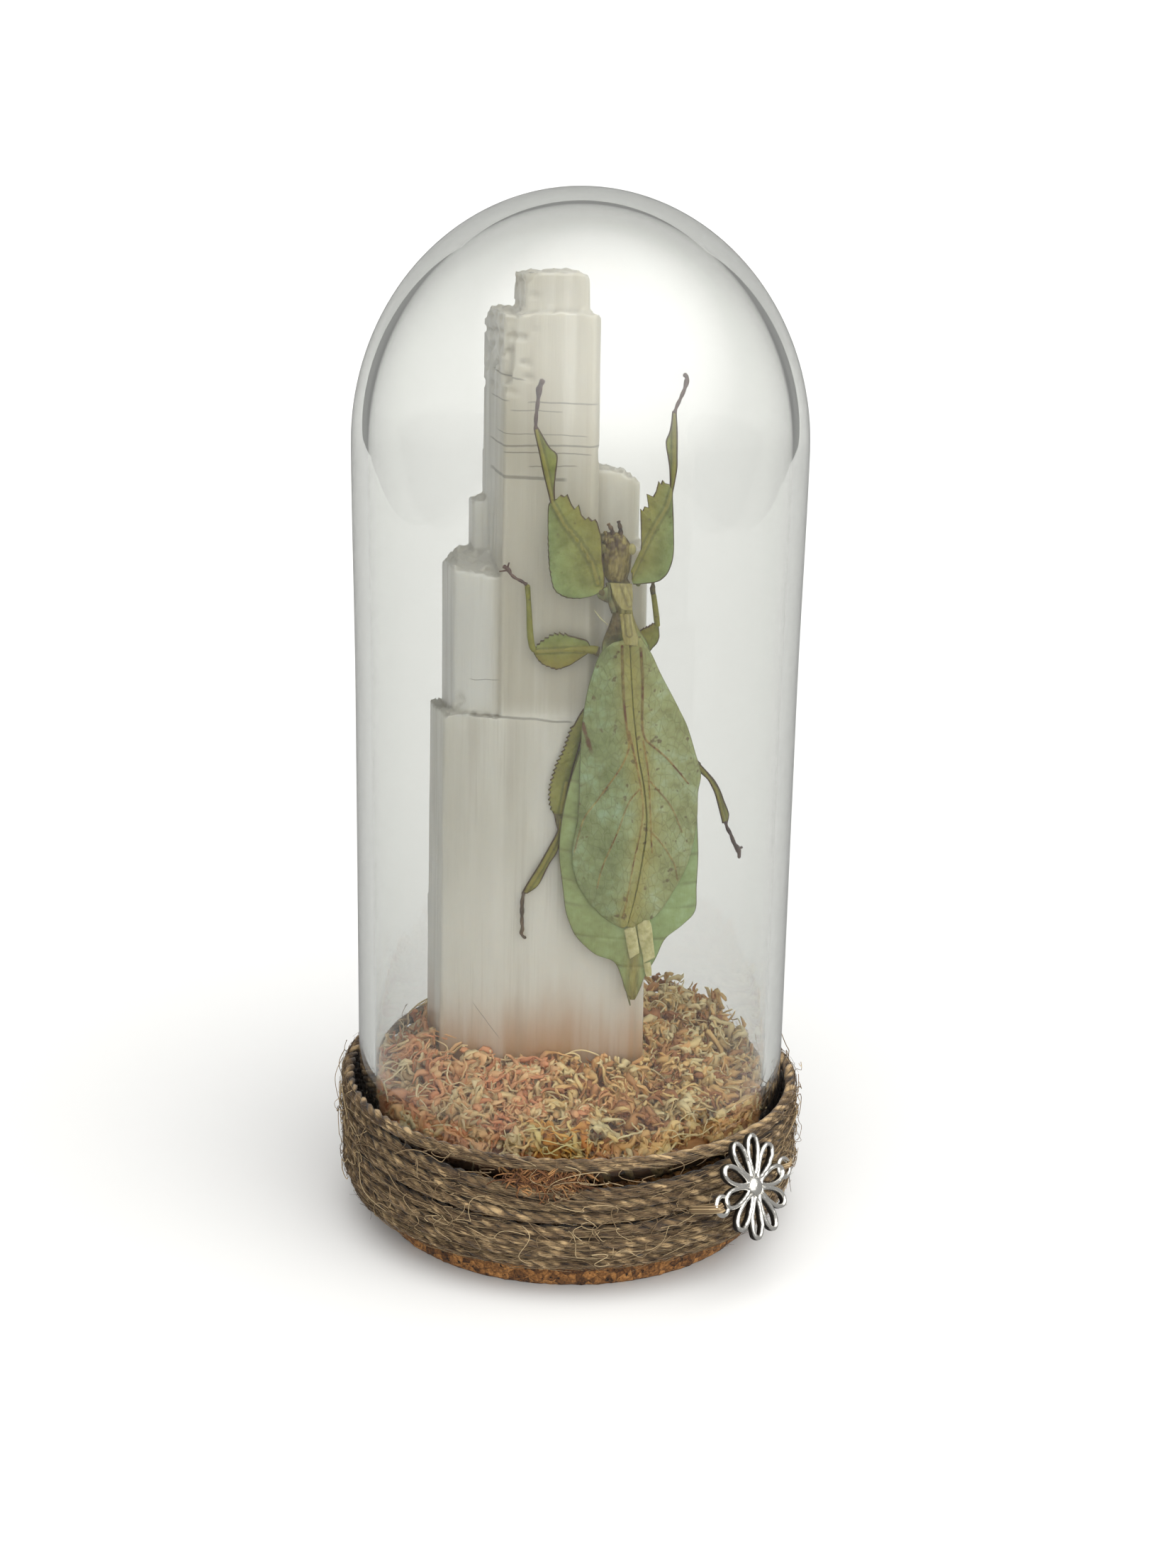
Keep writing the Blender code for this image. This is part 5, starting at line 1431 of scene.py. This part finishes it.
# %% The body
BODY_STATIONS = np.array([
    (19.6, -3.6, -1.6, -6.9, 0.7), (18.2, -4.9, -0.3, -6.9, 1.5), (16.3, -5.0, 0.4, -6.8, 2.0),
    (13.1, -4.8, 0.2, -6.7, 2.2), (11.4, -4.1, -0.2, -6.7, 1.6), (10.4, -3.5, 0.3, -6.8, 1.4),
    (8.0, -3.2, 0.7, -6.7, 1.8), (5.4, -2.7, 0.8, -6.6, 1.6), (2.9, -3.3, 1.6, -6.4, 1.9),
    (-0.4, -4.4, 3.6, -5.9, 1.3), (-3.6, -4.6, 4.4, -5.9, 1.3), (-10.8, -5.2, 6.6, -6.3, 0.9),
    (-21.0, -8.2, 12.4, -6.35, 0.8), (-26.0, -9.7, 13.1, -6.35, 0.8), (-32.8, -11.1, 13.4, -6.35, 0.7),
    (-39.6, -11.6, 13.8, -6.35, 0.7), (-45.8, -10.9, 13.7, -6.35, 0.7), (-50.6, -10.3, 13.6, -6.35, 0.7),
    (-53.4, -9.5, 11.4, -6.35, 0.7), (-56.2, -8.1, 8.3, -6.35, 0.7), (-59.4, -4.8, 6.9, -6.35, 0.7),
    (-60.9, -1.2, 6.2, -6.35, 0.8), (-63.9, 0.3, 4.6, -6.35, 0.9), (-66.0, 0.9, 3.9, -6.35, 0.8),
    (-68.5, 2.0, 2.9, -6.35, 0.4),
])
BODY_ROWS, BODY_COLUMNS = 380, 96
SEGMENT_EDGES = (-27.0, -34.0, -40.5, -46.0, -50.6, -56.4, -61.6)
BODY_MARKS = {**dict.fromkeys(("head", "groove", "pale", "dark", "crown", "skin", "rib"), 0.0), "edge": 1.0}


def body_part():
    """Sections round the body, squarer where it is thin, with grooves between segments."""
    z, left, right, middle_y, half_depth = curve(BODY_STATIONS, BODY_ROWS).T[..., None]
    turn, row = full_turn(BODY_COLUMNS)[None], np.arange(BODY_ROWS)
    thin = step(6.0, -8.0, z)
    rounded = np.sign(np.cos(turn)) * np.abs(np.cos(turn)) ** (1 - 0.1 * thin)
    x = (left + right) / 2 + (right - left) / 2 * rounded
    ends = np.sqrt(np.clip(np.minimum(row, row[::-1]) / 5.0, 0.0, 1.0))[:, None]
    bulge = half_depth * np.sign(np.sin(turn)) * np.abs(np.sin(turn)) ** (1.0 - 0.45 * thin) * ends
    flat = np.stack([x, np.broadcast_to(z, x.shape)], axis=-1)
    head = step(10.2, 11.4, z)
    wrinkles = (0.12 * ripple(flat * (1.0, 0.25), 1.5, 81) * head
                + 0.10 * ripple(flat * (1.0, 0.3), 1.2, 82) * step(-4, 2, z)
                + 0.22 * ripple(flat * (1.0, 0.8), 1.3, 83) * step(13.5, 16.5, z))
    groove = sum(bell(z - edge - 0.0075 * (x - 2.0) ** 2, 0.32) for edge in SEGMENT_EDGES) * thin
    keel = bell(x - 2.6, 1.6) * step(-48.0, -58.0, z)
    relief = (wrinkles - 0.12 * groove + 0.25 * keel) * ends
    y = middle_y + bulge + np.where(np.sin(turn) < 0.0, -relief, relief)
    gap = np.minimum(x - left, right - x)
    flank = step(8.5, 4.8, z) * step(-2.5, 0.5, z) * step(-0.6, -1.9, x)
    return part(in_world(x, y, z), edge=gap, head=np.broadcast_to(head, x.shape),
                groove=groove * step(5.0, 1.0, gap),
                crown=step(15.2, 18.0, z + 0.9 * ripple(flat, 1.6, 84) - 0.4 * (x + 2.5)),
                dark=np.maximum(0.7 * bell(z - 10.8, 0.6), 0.75 * flank),
                pale=keel * 0.9 + step(-1.0, 3.0, z) * step(10.6, 9.6, z) * 0.8)


def body_finish():
    """Olive-green leaf margins, a pale thorax, and a brown head streaked from top to bottom."""
    body = Finish("olive_body")
    head, groove, pale, dark, crown, skin, rib, edge = (body.mark(name) for name in BODY_MARKS)
    mottle = body.noise(1.2, detail=4.0)
    streaks = body.noise(0.55, scale=(1.0, 1.0, 0.16), detail=3.0)
    tone = body.noise(6.0, detail=4.0) * 0.6 + mottle * 0.4
    left = body.ramp(tone, (0.32, 130, 142, 84), (0.5, 148, 162, 102), (0.68, 162, 180, 124))
    right = body.ramp(tone, (0.32, 144, 162, 100), (0.5, 160, 182, 120), (0.68, 176, 202, 146))
    colour = body.over(
        left,
        # Right of x 7 to 15 the greener ramp takes over; its extra lightness is painted light from the right.
        body.axis("X").rise(7.0, 15.0), right,
        groove * 0.4, (100, 92, 48),
        edge.rise(0.25, 0.08) * 0.75, (92, 72, 40),
        pale, body.ramp(streaks, (0.3, 112, 98, 42), (0.55, 152, 138, 68), (0.75, 184, 174, 100)),
        rib.rise(0.1, 0.35) * rib.rise(0.8, 0.5) * 0.6, (84, 66, 28),
        head, body.ramp(streaks * 0.7 + mottle * 0.3,
                        (0.34, 88, 68, 36), (0.5, 130, 114, 60), (0.66, 166, 152, 90)),
        crown * mottle.rise(0.6, 0.44) * 0.7, (60, 34, 22),
        dark, body.ramp(mottle, (0.4, 60, 42, 32), (0.62, 112, 88, 58)),
        skin, body.ramp(mottle, (0.35, 196, 190, 130), (0.65, 236, 230, 176)))
    relief = streaks * 0.6 + mottle * 0.4
    return body.surface(base_color=colour, roughness=0.55, normal=body.bump(relief, 0.10))


# %% The small parts of head, thorax and tip
ANTENNAE = ([(-2.9, 18.6), (-3.2, 20.0), (-3.9, 21.2)], [(-1.6, 18.6), (-1.7, 20.2), (-2.1, 21.7)])
PRONOTUM = ([(-3.3, 10.9), (-3.1, 9.9), (-2.6, 8.4), (-1.8, 6.9), (-0.9, 6.0)],
            [(0.5, 10.8), (0.7, 8.4), (0.6, 6.0)])
PRONOTUM_RIB = [(-1.1, 10.7), (-0.6, 9.4), (-0.1, 8.2), (0.2, 7.2)]
SCUTUM = ([(-1.5, 5.4), (-1.3, 3.6), (-1.0, 1.6), (-0.5, 0.0)],
          [(0.6, 5.5), (0.9, 3.5), (1.7, 1.6), (1.7, -0.2)])
NECK = ([(-4.1, 10.8), (-3.9, 8.6), (-3.5, 6.8), (-3.0, 5.3)],
        [(-3.0, 10.9), (-3.0, 8.7), (-2.4, 7.0), (-1.9, 5.5)])
COXA = ([(-5.7, 8.9), (-5.1, 9.5), (-4.2, 10.2), (-3.7, 10.2)],
        [(-5.3, 8.1), (-4.8, 7.8), (-4.2, 7.5), (-3.6, 7.3)])
SKINS = (
    ([(2.8, -51.7), (3.3, -55.8), (4.0, -58.6), (4.3, -60.8)],
     [(4.2, -50.8), (5.5, -53.0), (6.0, -56.5), (6.4, -59.6)]),
    ([(0.6, -54.2), (1.2, -57.3), (1.8, -60.0)], [(2.5, -53.1), (3.1, -55.8), (3.5, -58.8)]),
    ([(4.3, -60.8), (4.5, -62.1), (4.9, -63.4)], [(5.6, -60.4), (5.8, -61.8), (5.9, -63.2)]),
)
CROWN_LUMPS = ((-4.9, 18.9, 0.5), (-4.3, 19.4, 0.45), (-3.7, 19.1, 0.5), (-2.7, 18.9, 0.45), (-2.0, 18.6, 0.45))
BODY_PARTS = [
    body_part(),
    blade(PRONOTUM, -8.45, 0.5, rows=60, rib=[PRONOTUM_RIB], pale=1.0, skin=0.25),
    blade(SCUTUM, -8.9, 0.4, slope=0.85, rows=60, rib=[[(-0.3, 5.2), (0.2, 2.0)]], pale=0.9, skin=(0.0, 0.25)),
    blade(NECK, -8.0, 0.5, rows=60, dark=(0.8, 0.5)),
    blade(COXA, -8.6, 0.7, rows=60, dark=(0.2, 0.9)),
    *[blade(skin, -7.45, 0.3, slope=0.1, rows=60, pale=0.8, skin=(0.5, 0.8), edge=1.0) for skin in SKINS],
    *[blob((x, z, -7.0), (r, r, r), rows=10, columns=14, crown=1.0, head=1.0) for x, z, r in CROWN_LUMPS],
    flat_limb([(-6.0, 5.9), (-4.8, 4.4), (-3.5, 3.2)], (0.04, 0.08, 0.05), -8.2, skin=1.0),
    blob((0.4, 16.7, -7.3), (0.75, 1.0, 0.9), pale=1.0, skin=0.35),
    blob((-4.6, 16.7, -7.3), (0.75, 1.0, 0.9), head=0.8),
    *[flat_limb(feeler, (0.45, 0.42, 0.35), -7.1, beads=3.0, dark=1.0) for feeler in ANTENNAE],
    flat_limb([(-4.4, 17.4), (-4.7, 18.5), (-4.8, 19.4)], (0.45, 0.42, 0.30), -7.3, beads=2.0, dark=0.8),
    flat_limb([(1.5, -66.5), (1.8, -68.2), (2.1, -69.6)], (0.3, 0.22, 0.10), -6.6, dark=0.7),
    flat_limb([(2.6, -66.5), (2.4, -68.2)], (0.3, 0.10), -6.6, dark=0.5),
]
dress(join("insect_body_shell", BODY_PARTS, body_finish(), BODY_MARKS), "olive_body", "insect_body")

# %% [markdown]
# ## The silver charm
#
# The flower is cast: ten open petals with raised, polished rims round a domed boss. The
# caster blackens the whole piece and rubs the high places bright again, so a point's
# height over the plate decides how dark it is. Each rim is a rounded profile carried once
# round a teardrop.

# %% Petals, boss and rings
CHARM_AZIMUTH, CHARM_FACING, CHARM_TILT = map(math.radians, (43.4, 53.4, 20.1))
CHARM_TURN, RING_TURN = map(math.radians, (-19.5, -0.6))
CHARM_Z = 19.84
CHARM_PLANE_R = 48.1
CHARM_PETALS = 10
PETAL_ROOT, PETAL_TIP, PETAL_HALF_WIDTH = 2.0, 9.05, 1.36
PETAL_ROWS, PETAL_COLUMNS = 64, 16
RIM_HALF_WIDTH = 0.42
RIM_FRONT, RIM_BACK = 0.75, -0.72
BOSS_PROFILE = [(0.0, 1.3), (0.6, 1.27), (1.1, 1.12), (1.5, 0.88), (1.8, 0.55), (2.0, 0.1), (1.95, -0.6),
                (1.7, -0.75), (0.0, -0.75)]
BOSS_HEIGHT = 1.3
RING_REACH, RING_R, RING_WIRE_R = 10.0, 1.65, 0.45


def charm_world(points):
    """The charm's own plane, turned to face out from the twine and a little upwards."""
    level = math.cos(CHARM_TILT)
    out = np.array([math.sin(CHARM_FACING) * level, -math.cos(CHARM_FACING) * level, math.sin(CHARM_TILT)])
    across = np.array([math.cos(CHARM_FACING), math.sin(CHARM_FACING), 0.0])
    middle = np.array([CHARM_PLANE_R * math.sin(CHARM_AZIMUTH), -CHARM_PLANE_R * math.cos(CHARM_AZIMUTH),
                       CHARM_Z])
    return middle + points @ np.stack([across, np.cross(out, across), out])


def petal_part(petal):
    """A teardrop loop: away from the boss on one side, round the tip and back."""
    turn, section = full_turn(PETAL_ROWS), full_turn(PETAL_COLUMNS)
    reach = (PETAL_ROOT + PETAL_TIP) / 2 - (PETAL_TIP - PETAL_ROOT) / 2 * np.cos(turn)
    offset = PETAL_HALF_WIDTH * np.sin(turn) * (1 - 0.34 * np.cos(turn))
    angle = np.pi / 2 + CHARM_TURN - 2 * np.pi / CHARM_PETALS * petal
    axis, side = np.array([math.cos(angle), math.sin(angle)]), np.array([-math.sin(angle), math.cos(angle)])
    loop = reach[:, None] * axis + offset[:, None] * side
    along = unit(np.roll(loop, -1, axis=0) - np.roll(loop, 1, axis=0))
    outward = np.stack([along[:, 1], -along[:, 0]], axis=-1)
    flat = loop[:, None] + (RIM_HALF_WIDTH * np.cos(section))[None, :, None] * outward[:, None]
    rounded = np.sign(np.sin(section)) * np.abs(np.sin(section)) ** 0.6
    high = (RIM_FRONT + RIM_BACK) / 2 + (RIM_FRONT - RIM_BACK) / 2 * rounded
    high = np.broadcast_to(high, flat.shape[:2])
    points = np.concatenate([flat, high[..., None]], axis=-1)
    points[..., 2] += 0.05 * ripple(points, 1.4, 91 + petal)
    return part(charm_world(points), closed_rows=True, height=high / RIM_FRONT)


def boss_part():
    """A low round button."""
    points = revolve(curve(BOSS_PROFILE, 60, smooth=False), 48)
    return part(charm_world(points), height=points[..., 2] / BOSS_HEIGHT)


def ring_part(side):
    """A round wire loop beside the flower, in its plane."""
    turn, section = full_turn(40)[:, None], full_turn(12)
    reach = RING_R + RING_WIRE_R * np.cos(section)
    middle = side * RING_REACH * np.array([math.cos(RING_TURN), math.sin(RING_TURN)])
    x, y = middle[0] + reach * np.cos(turn), middle[1] + reach * np.sin(turn)
    points = np.stack([x, y, np.broadcast_to(RING_WIRE_R * np.sin(section), x.shape)], axis=-1)
    return part(charm_world(points), closed_rows=True, height=0.9)


def silver_finish():
    """Polished where it is high, blackened where it is low, with fine casting dimples."""
    silver = Finish("antique_silver")
    wear = silver.mark("height") + (silver.noise(0.9, detail=4.0) - 0.5) * 0.5
    polish = wear.rise(0.25, 0.75)
    colour = silver.over((58, 54, 50), polish, (226, 224, 218))
    dimples = silver.bump(silver.noise(0.45, detail=3.0), 0.05)
    return silver.surface(base_color=colour, metallic=1.0, roughness=0.55 - polish * 0.3, normal=dimples)


charm_parts = [petal_part(petal) for petal in range(CHARM_PETALS)] + [boss_part(), ring_part(1), ring_part(-1)]
charm = join("flower_charm_cast", charm_parts, silver_finish(), {"height": 0.5})
dress(charm, "antique_silver", "flower_charm")

# %% The strands that tie it on
TIES, TIE_RINGS, TIE_SIDES = 9, 16, 5
TIE_WAY = [(2.2, 0.3, -5.5), (2.4, 0.2, -1.0), (1.7, 0.0, 0.7), (0.6, 0.0, 0.6), (0.1, -0.1, -0.8),
           (-0.2, -0.4, -5.5)]
TIE_STRAY = (0.12, 0.3, 0.08)


def tie_paths(draw, side):
    """Strands from the twine that go over a ring's wire and back through its hole."""
    stray = np.stack([draw.normal(0, spread, (TIES, 1)) for spread in TIE_STRAY], axis=-1)
    along, across, out = np.moveaxis(curve(TIE_WAY, TIE_RINGS)[None] + stray, -1, 0)
    along = side * (RING_REACH + along)
    flat = np.stack([along * math.cos(RING_TURN) - across * math.sin(RING_TURN),
                     along * math.sin(RING_TURN) + across * math.cos(RING_TURN), out], axis=-1)
    return charm_world(flat)


draw = np.random.default_rng(23)
ties = np.concatenate([tie_paths(draw, side) for side in (1, -1)])
lay("charm_ties", FIBRE, "jute", draw, ties, draw.uniform(0.25, 0.45, (len(ties), 1)), between(0.3, 1.0),
    sides=TIE_SIDES)
